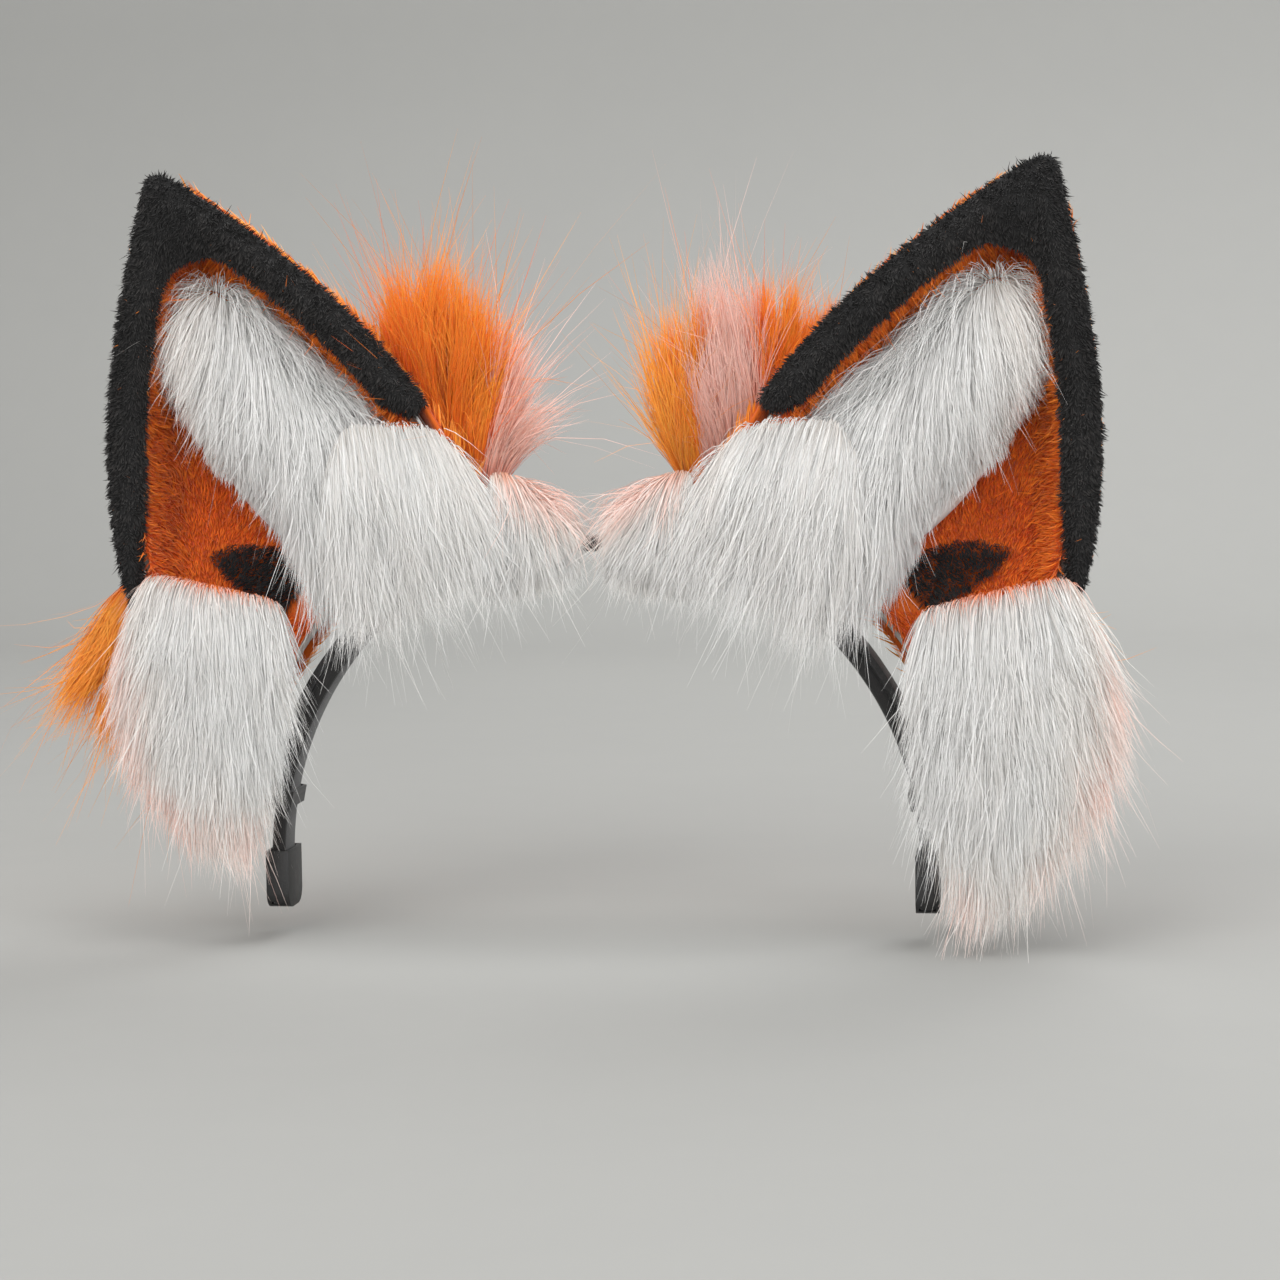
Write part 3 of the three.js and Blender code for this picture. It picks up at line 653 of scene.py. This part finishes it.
def clamp(value, low=0.0, high=1.0):
    return max(low, min(high, value))


def step(low, high, value):
    share = clamp((value - low) / (high - low))
    return share * share * (3 - 2 * share)


def patchy(place, size, seed):
    # slow variation over the fur, about -1 to 1
    return noise.noise(Vector((place.x / size + seed * 7.3, place.y / size, place.z / size)))


def hemHeight(x):
    # the long white strands end along this line: just over the band, and higher where the lining shows
    return max(-1 - 0.48 * x, min(-12 + 2.6 * (x - 71), 7 + 0.85 * (x - 78)))


rimMesh = nodes["right_rim_plush"].data
rimSurface = BVHTree.FromPolygons([v.co for v in rimMesh.vertices], [p.vertices for p in rimMesh.polygons])


def rimGap(place):
    # how far a place is from the black rim, seen from the front
    near = rimSurface.find_nearest(place * mm)[0]
    return math.hypot(near.x / mm - place.x, near.z / mm - place.z)


def raiseEdge(root, length, normal, share=0.6):
    # strands on an upper edge stand up before they fall, and are short
    top = step(0.25, 0.85, normal.z)
    stood = Vector((normal.x * 0.4, -0.8, 0.35))
    return root.normalized().lerp(stood, top), length * (1 - share * top)


# White fur in the cup

cupFluff = {"fan": (80, 104), "length": 29, "lift": 0.75, "tipLift": 0.12, "fall": 0.35}
whiteLook = {"Segments": 4, "Strand Width": 0.18 * mm, "Length Spread": 0.45, "Clump Size": 4 * mm,
             "Clump Pull": 0.28, "Clump Spread": 0.12, "Wave": 0.8 * mm, "Wave Size": 12 * mm,
             "Stray": 0.14, "Wildness": 4.0, "Dye Spread": 1.1, "Skin Share": 0.82}
cupFluffLook = {**whiteLook, "Strands": 8.8e6, "Skin Share": 0.95}


def cupFlow(place, normal, sign):
    down = away(place, cupFluff["fan"]) + Vector((0, 0, -cupFluff["fall"]))
    down.normalize()
    room = (place.z - hemHeight(place.x)) / max(0.3, -down.z)
    length = clamp(room * (1 - 0.25 * step(68, 74, place.x)), 4, cupFluff["length"]) * (1 + 0.12 * patchy(place, 12, 1))
    outer = step(84, 100, place.x + 0.1 * (40 - place.z))
    hem = 1 - step(1.5, 5.5, rimGap(place))
    tint = 0.3 * outer + 0.1 * patchy(place, 9, 2) + (1.0 - 0.3 * outer) * hem
    rolled = step(0.35, 0.9, 1 - abs(normal.y))   # the outline, where strands stand out over the lining
    root = down + normal * (cupFluff["lift"] + 0.5 * step(76, 62, place.x) + 0.9 * rolled) + Vector((0, -0.4 * rolled, 0))
    tip = down + normal * cupFluff["tipLift"] + Vector((0, -0.03, -0.25))
    length *= (1 - 0.25 * outer) * (1 - 0.7 * hem)
    cover = 1 - 0.4 * outer if normal.y < 0.15 and room > 1 else 0.0
    return root, tip, length, clamp(tint), cover


# White fur between the ear and the crown

browFluff = {"fan": (80, 104), "length": 26, "lift": 0.35, "least": 9, "fall": 0.35}
browFluffLook = dict(whiteLook, Strands=17e6)


def browFlow(place, normal, sign):
    down = away(place, browFluff["fan"]) + Vector((0, 0, -browFluff["fall"]))
    down.normalize()
    room = (place.z - hemHeight(place.x)) / max(0.2, -down.z)
    length = clamp(room, browFluff["least"], browFluff["length"]) * (1 + 0.1 * patchy(place, 10, 3))
    top = step(22, 36, place.z)
    root, length = raiseEdge(down + normal * browFluff["lift"] * (1 - 0.5 * top), length, normal, 0.35)
    tint = 0.06 + 0.1 * patchy(place, 8, 4) + 0.5 * (1 - step(0.5, 4, rimGap(place)))
    tint += 0.4 * step(40, 27, place.x) * step(21, 28, place.z)
    cover = (1 - 0.6 * step(54, 64, place.x)) * (1 - 0.5 * step(24, 31, place.z))
    return root, down + normal * 0.1 + Vector((0, -0.02, -0.3)), length, clamp(tint), cover if normal.y < 0.5 else 0.1


# White tuft below the ear's outer end

lowerTuft = {"fan": (91, 45), "point": {1: 86, -1: 72}, "length": {1: 25, -1: 20}, "lift": 0.5}
lowerTuftLook = dict(whiteLook, Strands=7.6e6)


def tuftFlow(place, normal, sign):
    lower = step(-30, -80, place.z)
    gathered = away(Vector((lowerTuft["point"][sign], 0, -112)), (place.x, place.z))
    down = away(place, lowerTuft["fan"]) * (1 - 0.6 * lower) + gathered * 0.6 * lower
    down.normalize()
    outer = step(98, 114, place.x - 0.15 * (place.z + 50) + (7 if sign < 0 else 0))
    tint = 0.04 + 0.42 * outer + 0.35 * step(-48, -68, place.z - (12 if sign < 0 else 0))
    tint = tint + 0.14 * patchy(place, 11, 5) + 0.95 * step(0.5, 0.9, normal.z)
    length = lowerTuft["length"][sign] * (1 + 0.12 * patchy(place, 12, 6))
    root, length = raiseEdge(down + Vector((normal.x * 0.35, normal.y, normal.z)) * lowerTuft["lift"], length, normal, 0.65)
    return root, down + normal * 0.05 + Vector((0, 0, -0.1)), length, clamp(tint), 1.0 if normal.y < 0.5 else 0.35


# Orange tufts behind the ear

flameTuft = {"focus": (36, -14), "length": 31, "lift": 0.35}
flameTuftLook = {"Strands": 8.5e6, "Segments": 4, "Strand Width": 0.2 * mm, "Length Spread": 0.6, "Clump Size": 8 * mm,
                 "Clump Pull": 0.75, "Clump Spread": 0.3, "Wave": 0.4 * mm, "Wave Size": 10 * mm,
                 "Stray": 0.2, "Wildness": 7.0, "Dye Spread": 1.4, "Skin Share": 0.7}


def flameFlow(place, normal, sign):
    inner = step(34, 20, place.x + 5 * patchy(place, 10, 16))
    between = step(24, 29, place.x + 3 * patchy(place, 10, 16)) * step(41, 35, place.x)
    pink = between if sign > 0 else inner * step(50, 22, place.z)   # the right ear is pale farther out
    up = away(place, flameTuft["focus"]) + Vector((0.22 * inner if sign > 0 else 0, 0, 0.25))
    up.normalize()
    red = step(22, 44, place.x) * step(48, 24, place.z)
    tint = clamp(0.12 + 0.45 * red + 0.15 * patchy(place, 8, 7))
    if pink > 0.3:
        tint = clamp(0.72 + 0.3 * pink)
    behind = step(38, 50, place.x + 4 * sign)   # shorter where the ear stands in front
    length = flameTuft["length"] * (1 + 0.35 * patchy(place, 8, 8)) * (1 - 0.45 * behind)
    low = step(40, 14, place.z)
    spread = Vector((-0.55 - 0.3 * low, 0, -0.2 - 0.3 * low)) * pink * (0.15 if sign > 0 else 1)
    tip = up + spread + normal * 0.1 + Vector((0, 0.04, 0.1))
    return up + normal * flameTuft["lift"], tip, length, tint, 1 - 0.6 * pink


outerTuft = {"focus": (97, 4), "length": {1: 14, -1: 23}, "lift": 0.3}
outerTuftLook = {**flameTuftLook, "Strands": 6.2e6, "Clump Size": 7 * mm, "Clump Spread": 0.25}


def outerFlow(place, normal, sign):
    out = away(place, outerTuft["focus"]) + Vector((0.05, 0, -0.5))
    out.normalize()
    length = outerTuft["length"][sign] * (1 + 0.25 * patchy(place, 8, 9))
    tint = clamp(0.15 + 0.15 * patchy(place, 7, 10) + 0.5 * step(-40, -56, place.z))
    return out + normal * outerTuft["lift"], out + normal * 0.1 + Vector((0, 0, -0.15)), length, tint, 1.0


# Small white tuft beside the crown

crownTuft = {"fan": (42, 75), "length": 18, "lift": 0.45, "fall": 0.2}
crownTuftLook = dict(whiteLook, Strands=10e6, Stray=0.25)


def crownFlow(place, normal, sign):
    down = away(place, crownTuft["fan"]) + Vector((0, 0, -crownTuft["fall"]))
    down.normalize()
    room = (place.z + 1 + 0.4 * place.x) / max(0.3, -down.z)
    wisp = step(-5, 2, place.z - 0.8 * place.x - 3 + 3 * patchy(place, 5, 17))
    fill = step(14, 22, place.x)
    root = down.lerp(Vector((-0.5, -0.3, 0.45)), 0.6 * wisp * (1 - fill)) + normal * crownTuft["lift"]
    tip = down + Vector((-0.25 * wisp + 0.45 * fill, 0, -0.1))
    length = clamp(room, 6, crownTuft["length"]) * (1 + 0.2 * patchy(place, 6, 17))
    return root, tip, length, clamp(0.05 + 0.52 * wisp + 0.12 * patchy(place, 6, 15)), 1 - 0.45 * wisp


# Pile on the back, the lining, the rim and the canal patch

backPile = {"length": 7, "lift": 0.8}
backPileLook = {"Strands": 1.5e6, "Segments": 3, "Strand Width": 0.5 * mm, "Length Spread": 0.4, "Clump Size": 4 * mm,
                "Clump Pull": 0.35, "Clump Spread": 0.3, "Wave": 0.3 * mm, "Wave Size": 6 * mm,
                "Stray": 0.25, "Dye Spread": 1.6, "Keep Skin": False}


def backFlow(place, normal, sign):
    up = Vector((0.3, 0, 1))
    up = (up - normal * up.dot(normal)).normalized()
    outer = step(2, 22, place.x - 57 - 0.44 * (place.z + 23))
    edge = 1 - step(2, 12, rimGap(place))
    length = backPile["length"] * (1 + 0.15 * patchy(place, 9, 11)) * (1 - edge * (0.3 + 0.35 * outer))
    return (up + normal * backPile["lift"] * (1 - 0.5 * edge), up + normal * 0.35 * (1 - edge), length,
            clamp(0.12 + 0.12 * patchy(place, 10, 12)), 1.0 if normal.y > 0.02 else 0.0)


liningPile = {"length": 2.6, "lift": 1.1}
liningPileLook = {"Strands": 3.9e6, "Segments": 2, "Strand Width": 0.38 * mm, "Length Spread": 0.4, "Clump Size": 3 * mm,
                  "Clump Pull": 0.15, "Clump Spread": 0.3, "Wave": 0.1 * mm, "Wave Size": 4 * mm,
                  "Stray": 0.3, "Dye Spread": 2.0, "Keep Skin": False}


def liningFlow(place, normal, sign):
    up = Vector((0.1, 0, -1))
    up = (up - normal * up.dot(normal)).normalized()
    edge = 1 - step(1, 8, rimGap(place))
    tip = up * (1 - edge) + normal * 0.7 + Vector((0, -0.5 * edge, 0))
    tint = clamp(0.3 - 0.3 * edge + 0.3 * patchy(place, 14, 13))
    cover = 1 - insideLeaf(place) if normal.y < -0.02 else 0.0
    return up + normal * liningPile["lift"], tip, liningPile["length"] * (1 + 0.9 * edge), tint, cover


rimPile = {"length": 1.5, "lift": 1.6}
rimPileLook = {"Strands": 6.8e6, "Segments": 2, "Strand Width": 0.29 * mm, "Length Spread": 0.45, "Clump Size": 2.2 * mm,
               "Clump Pull": 0.25, "Clump Spread": 0.5, "Wave": 0.15 * mm, "Wave Size": 3 * mm,
               "Stray": 0.35, "Dye Spread": 5.0}


def rimFlow(place, normal, sign):
    up = Vector((0.1, 0, -1))
    up = (up - normal * up.dot(normal))
    tint = clamp(0.5 + 0.5 * patchy(place, 10, 14))
    return up + normal * rimPile["lift"], up * 0.7 + normal, rimPile["length"], tint, 1.0


patchLeaf = {"start": (70, -14), "end": (97, -1), "half": 6.5, "lean": 2.0}
patchPileLook = {**rimPileLook, "Strands": 13e6, "Keep Skin": False}


def insideLeaf(place):
    # the leaf-shaped black patch that marks the ear canal, 1 inside and 0 outside
    start, end = Vector(patchLeaf["start"]), Vector(patchLeaf["end"])
    line, reach = end - start, Vector((place.x, place.z)) - start
    share = reach.dot(line) / line.length_squared
    aside = line.normalized().cross(reach) - patchLeaf["lean"] * math.sin(math.pi * clamp(share))
    return 1.0 if 0 < share < 1 and abs(aside) < patchLeaf["half"] * math.sin(math.pi * share ** 0.75) ** 0.7 else 0.0


def patchFlow(place, normal, sign):
    root, tip, length, tint, cover = rimFlow(place, normal, sign)
    return root, tip, length * 1.7, tint, insideLeaf(place) if normal.y < 0.1 else 0.0

print("fur tree ready")

# name on each side: CAD node, body, skin rounding, look, flow, material, record slot, filling
furPieces = {
    "CupFluff": ("inner_fluff", "ear", 1, cupFluffLook, cupFlow, whiteFur, "white_fur", 0.5),
    "BrowFluff": ("brow_fluff", "ear", 1, browFluffLook, browFlow, whiteFur, "white_fur", 0.4),
    "LowerTuft": ("lower_tuft", "ear", 1, lowerTuftLook, tuftFlow, whiteFur, "white_fur", 0.5),
    "FlameTuft": ("upper_rear_tuft", "ear", 1, flameTuftLook, flameFlow, orangeFur, "orange_fur", 0.3),
    "OuterTuft": ("outer_rear_tuft", "ear", 1, outerTuftLook, outerFlow, orangeFur, "orange_fur", 0.3),
    "CrownTuft": ("crown_fur", "arm", 1, crownTuftLook, crownFlow, whiteFur, "white_fur", 0.3),
    "RimPlush": ("rim_plush", "ear", 1, rimPileLook, rimFlow, blackPlush, "black_plush", 0.7),
    "CanalPatch": ("canal_patch", "ear", 3, patchPileLook, patchFlow, blackPlush, "black_plush", 0.2),
}
# how far each long-haired core is drawn in from its CAD outline, so that the strands end about there:
# the share kept along X, Y and Z, and the point that stays put
cores = {
    "CupFluff": ((1.0, 0.8, 1.0), (0.6, 1.0, 1.0)),
    "BrowFluff": ((1.0, 0.3, 0.66), (0.5, 1.0, 0.78)),
    "LowerTuft": ((0.82, 0.55, 0.78), (0.35, 1.0, 1.15)),
    "FlameTuft": ((0.82, 0.5, 0.5), (0.8, 0.5, 0.0)),
    "OuterTuft": ((0.78, 0.6, 0.62), (0.0, 0.5, 0.92)),
    "CrownTuft": ((1.35, 0.4, 0.9), (0.1, 1.0, 0.6)),
}


def drawIn(bm, node, sign, keep, fixed):
    low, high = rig.box(node)
    if sign > 0 and "outer_rear" in node:   # the right one is short
        keep = (0.5, *keep[1:])
    if sign > 0 and "upper_rear" in node:   # the right flame reaches nearer the crown
        keep, fixed = (0.94, *keep[1:]), (0.9, *fixed[1:])
    if sign < 0 and "lower_tuft" in node:   # the left tuft is the shorter and slimmer one
        keep, fixed = (0.76, keep[1], 0.69), (0.05, *fixed[1:])
    if sign < 0:   # the fixed point is given for the +X side
        fixed = (1 - fixed[0], fixed[1], fixed[2])
    anchor = Vector([low[i] + (high[i] - low[i]) * fixed[i] for i in range(3)])
    for vertex in bm.verts:
        vertex.co = anchor + Vector([(vertex.co[i] - anchor[i]) * keep[i] for i in range(3)])
        if "inner_fluff" in node:   # lining shows inside the rim, and the outer corner reaches up toward the tip
            place = Vector((abs(vertex.co.x), vertex.co.y, vertex.co.z)) / mm
            inward = (Vector((86, place.y, 20)) - place).normalized() * 7 * mm * (1 - step(1, 12, rimGap(place)))
            vertex.co += inward * Vector((sign, 1, 1))
            rise = clamp((vertex.co.z / mm - 28) / 36)
            vertex.co.z += 0.5 * max(0, abs(vertex.co.x) - 82 * mm) * rise
            vertex.co.x += sign * 2.5 * mm * rise
        if "brow" in node:   # the top slopes down from the rim toward the crown
            vertex.co.z -= 0.25 * max(0, 40 * mm - abs(vertex.co.x)) * clamp(vertex.co.z / high.z)
        if "crown" in node:   # and this one rises to meet it
            out = abs(vertex.co.x) / mm
            rise = 0.55 * clamp(out - 6, 0, 9) - 0.7 * max(0, out - 19)
            vertex.co.z += rise * mm * clamp(vertex.co.z / (14 * mm))


def triangles(piece):
    return sum(len(p.vertices) - 2 for p in piece.data.polygons)


def makeFurPieces():
    for side, sign in sides.items():
        for i, (title, (node, body, levels, look, flow, material, slotName, fill)) in enumerate(furPieces.items()):
            bm = mergedCopy(f"{side}_{node}")
            if title in cores:
                drawIn(bm, f"{side}_{node}", sign, *cores[title])
            piece = smoothed(side + title, bm, levels + (title in cores), relax=3 if title in cores else 0)
            growFur(piece, sign, dict(look, Seed=100 + i * 10 + (sign > 0)), flow, material)
            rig.ride(piece, f"{side}_{body}")
            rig.replaces(piece, f"{side}_{node}")
            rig.slot(piece, slotName)
            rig.padded(piece, fill=fill)
            print(piece.name, triangles(piece), "triangles")


def sheetSize(piece, share=0.6):
    area = sum(face.area for face in piece.data.polygons) / 2
    low, high = (Vector([f(v.co[i] for v in piece.data.vertices) for i in range(3)]) for f in (min, max))
    tall = (high.z - low.z) * 1.05
    return {"flat": (area / share / tall, tall), "area": area}


def makeCloths():
    for side, sign in sides.items():
        for title, node, material, slotName, pileMaterial, look, flow in (
                ("BackCover", "back_cover", orangeBacking, "orange_fur", orangeFur, backPileLook, backFlow),
                ("CupLining", "cup_lining", orangeBacking, "orange_plush", orangePlush, liningPileLook, liningFlow)):
            cloth = smoothed(side + title, mergedCopy(f"{side}_{node}"), 2, material)
            pile = smoothed(side + title + "Pile", mergedCopy(f"{side}_{node}"), 3)
            growFur(pile, sign, dict(look, Seed=300 + len(title) + (sign > 0)), flow, pileMaterial)
            for piece in (cloth, pile):
                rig.ride(piece, f"{side}_ear")
                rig.slot(piece, slotName)
            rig.replaces(cloth, f"{side}_{node}")
            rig.sheet(cloth, held="stretched", rests_on=[f"{side}_foam_stiffener"], **sheetSize(cloth))
            print(pile.name, triangles(pile), "triangles")


# Velvet sleeve over the whole band, in two halves that meet at the crown

band = {"crownHalf": 8.0, "headHalfWidth": 76.0, "drop": 74.0, "tail": 10.4, "width": 11.0, "thickness": 3.3,
        "rings": 150, "corner": 1.3, "hinge": 8.0, "turn": 2.2}


def bandLine(distance, sizes):
    # inner face of the band: flat at the crown, a quarter ellipse, then straight down
    half = sizes["headHalfWidth"] - sizes["crownHalf"]
    if distance <= sizes["crownHalf"]:
        return Vector((distance, 0, 0)), Vector((0, 0, 1))
    if distance > sizes["curveEnd"]:
        return Vector((sizes["headHalfWidth"], 0, -sizes["drop"] - (distance - sizes["curveEnd"]))), Vector((1, 0, 0))
    t = sizes["angleAt"](distance)
    point = Vector((sizes["crownHalf"] + half * math.sin(t), 0, sizes["drop"] * (math.cos(t) - 1)))
    return point, Vector((sizes["drop"] * math.sin(t), 0, half * math.cos(t))).normalized()


def makeSleeve():
    half = band["headHalfWidth"] - band["crownHalf"]
    fine = 600
    lengths = [0.0]
    for i in range(fine):
        t = (i + 0.5) / fine * math.pi / 2
        lengths.append(lengths[-1] + math.hypot(half * math.cos(t), band["drop"] * math.sin(t)) * math.pi / 2 / fine)
    sizes = dict(band, curveEnd=band["crownHalf"] + lengths[-1])

    def angleAt(distance):
        wanted = distance - band["crownHalf"]
        i = next((k for k, l in enumerate(lengths) if l >= wanted), fine)
        return i / fine * math.pi / 2

    sizes["angleAt"] = angleAt
    total = sizes["curveEnd"] + band["tail"]
    section = []   # rounded section, across and outward
    corner, wide, thick = band["corner"], band["width"] / 2, band["thickness"]
    for cx, cy, start in ((wide - corner, thick - corner, 0), (corner - wide, thick - corner, 90),
                          (corner - wide, corner, 180), (wide - corner, corner, 270)):
        for k in range(5):
            a = math.radians(start + k * 22.5)
            section.append((cx + corner * math.cos(a), cy + corner * math.sin(a)))
    for side, sign in sides.items():
        bm = bmesh.new()
        weave = bm.loops.layers.uv.new("weave")
        rings = []
        for i in range(band["rings"] + 1):
            distance = total * i / band["rings"]
            point, out = bandLine(distance, sizes)
            ring = []
            for across, up in section:
                place = (point + out * up) * mm
                ring.append(bm.verts.new((place.x * sign, across * mm, place.z)))
            rings.append((distance, ring))
        girth = [0.0]
        for k in range(len(section)):
            a, b = section[k], section[(k + 1) % len(section)]
            girth.append(girth[-1] + math.dist(a, b))
        for (d0, low), (d1, high) in zip(rings, rings[1:]):
            for k in range(len(section)):
                n = (k + 1) % len(section)
                face = bm.faces.new((low[k], low[n], high[n], high[k]))
                for loop, uv in zip(face.loops, ((girth[k], d0), (girth[k + 1], d0), (girth[k + 1], d1), (girth[k], d1))):
                    loop[weave].uv = (uv[0] * mm, uv[1] * mm)
        for _, ring in (rings[0], rings[-1]):
            face = bm.faces.new(ring)
            for loop in face.loops:
                loop[weave].uv = (loop.vert.co.y, loop.vert.co.z)
        bmesh.ops.recalc_face_normals(bm, faces=bm.faces)
        sleeve = newPiece(side + "Sleeve", bm, sleeveVelvet)
        start, end = ((sign * (band["hinge"] + turn) * mm, 0, thick / 2 * mm) for turn in (-band["turn"], band["turn"]))
        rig.blend(sleeve, "crown", f"{side}_arm", start=start, end=end)
        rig.replaces(sleeve, f"{side}_band_sleeve", *(["crown_band_sleeve"] if sign > 0 else []))
        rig.slot(sleeve, "black_velvet")
        flatWidth = (band["width"] + thick) * mm   # the sleeve laid flat is a double layer, half its girth across
        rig.sheet(sleeve, flat=(flatWidth, total * mm), held="stretched",
                 rests_on=[f"{side}_band_spring", "crown_band_spring"], area=flatWidth * total * mm)


# Felt pads, foam stiffeners and end caps are rounded copies; springs, wires and ties keep their CAD shape

def roundedCopy(name, node, material, bevel, levels):
    piece = newPiece(name, mergedCopy(node), material)
    edge = piece.modifiers.new("edge", "BEVEL")
    edge.width, edge.segments, edge.limit_method, edge.angle_limit = bevel * mm, 2, "ANGLE", math.radians(40)
    if levels:
        rounding = piece.modifiers.new("rounding", "SUBSURF")
        rounding.levels = rounding.render_levels = levels
    return freeze(piece)


def makeHardPieces():
    for side in sides:
        foam = smoothed(side + "FoamStiffener", mergedCopy(f"{side}_foam_stiffener"), 2, stiffFoam)
        pad = roundedCopy(side + "BasePad", f"{side}_ear_base_pad", padFelt, 0.35, 0)
        cap = roundedCopy(side + "EndCap", f"{side}_end_cap", capBlack, 0.5, 0)
        for piece, node, body, slotName in ((foam, "foam_stiffener", "ear", "foam"),
                                            (pad, "ear_base_pad", "arm", "black_felt"), (cap, "end_cap", "arm", "black_cap")):
            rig.ride(piece, f"{side}_{body}")
            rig.replaces(piece, f"{side}_{node}")
            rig.slot(piece, slotName)
        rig.padded(foam, fill=1.0)
        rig.sheet(pad, held="laid", rests_on=[f"{side}Sleeve"], **sheetSize(pad, 0.95))
        for node, material in (("band_spring", springSteel), ("inner_wire_foot", frameWire),
                               ("outer_wire_foot", frameWire), ("wire_frame", frameWire),
                               ("inner_thread_tie", threadBlack), ("outer_thread_tie", threadBlack)):
            dress(f"{side}_{node}", material)
    dress("crown_band_spring", springSteel)


def dress(node, material):
    slots = nodes[node].material_slots
    for slot in slots:
        slot.material = material
    if not slots:
        nodes[node].data.materials.append(material)


def addStage():
    floor = cadBox[0].z
    bm = bmesh.new()
    profile = [(-studio["front"], floor)]
    for k in range(studio["bendSteps"] + 1):
        a = math.pi / 2 * k / studio["bendSteps"]
        profile.append((studio["wall"] - studio["bend"] + studio["bend"] * math.sin(a),
                        floor + studio["bend"] * (1 - math.cos(a))))
    profile.append((studio["wall"], floor + studio["height"]))
    rows = [[bm.verts.new((x, y, z)) for x in (-studio["halfWidth"], studio["halfWidth"])] for y, z in profile]
    for a, b in zip(rows, rows[1:]):
        bm.faces.new((a[0], a[1], b[1], b[0]))
    pale = grainMaterial("paleBackdrop", (0.375, 0.375, 0.362), (0.395, 0.395, 0.38), 60, 3, 0.8, 0.02, 0.8)
    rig.stage(newPiece("backdrop", bm, pale))


addCamera()
addLamps()
makeSleeve()
makeHardPieces()
print("band, pads and caps ready")
makeCloths()
makeFurPieces()
addStage()
bpy.context.scene.view_settings.view_transform = "Standard"
print("fur grown")

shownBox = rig.bounds()
with open("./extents.json", "w") as file:
    json.dump({"cad": [list(v) for v in cadBox], "visual": [list(v) for v in shownBox]}, file)
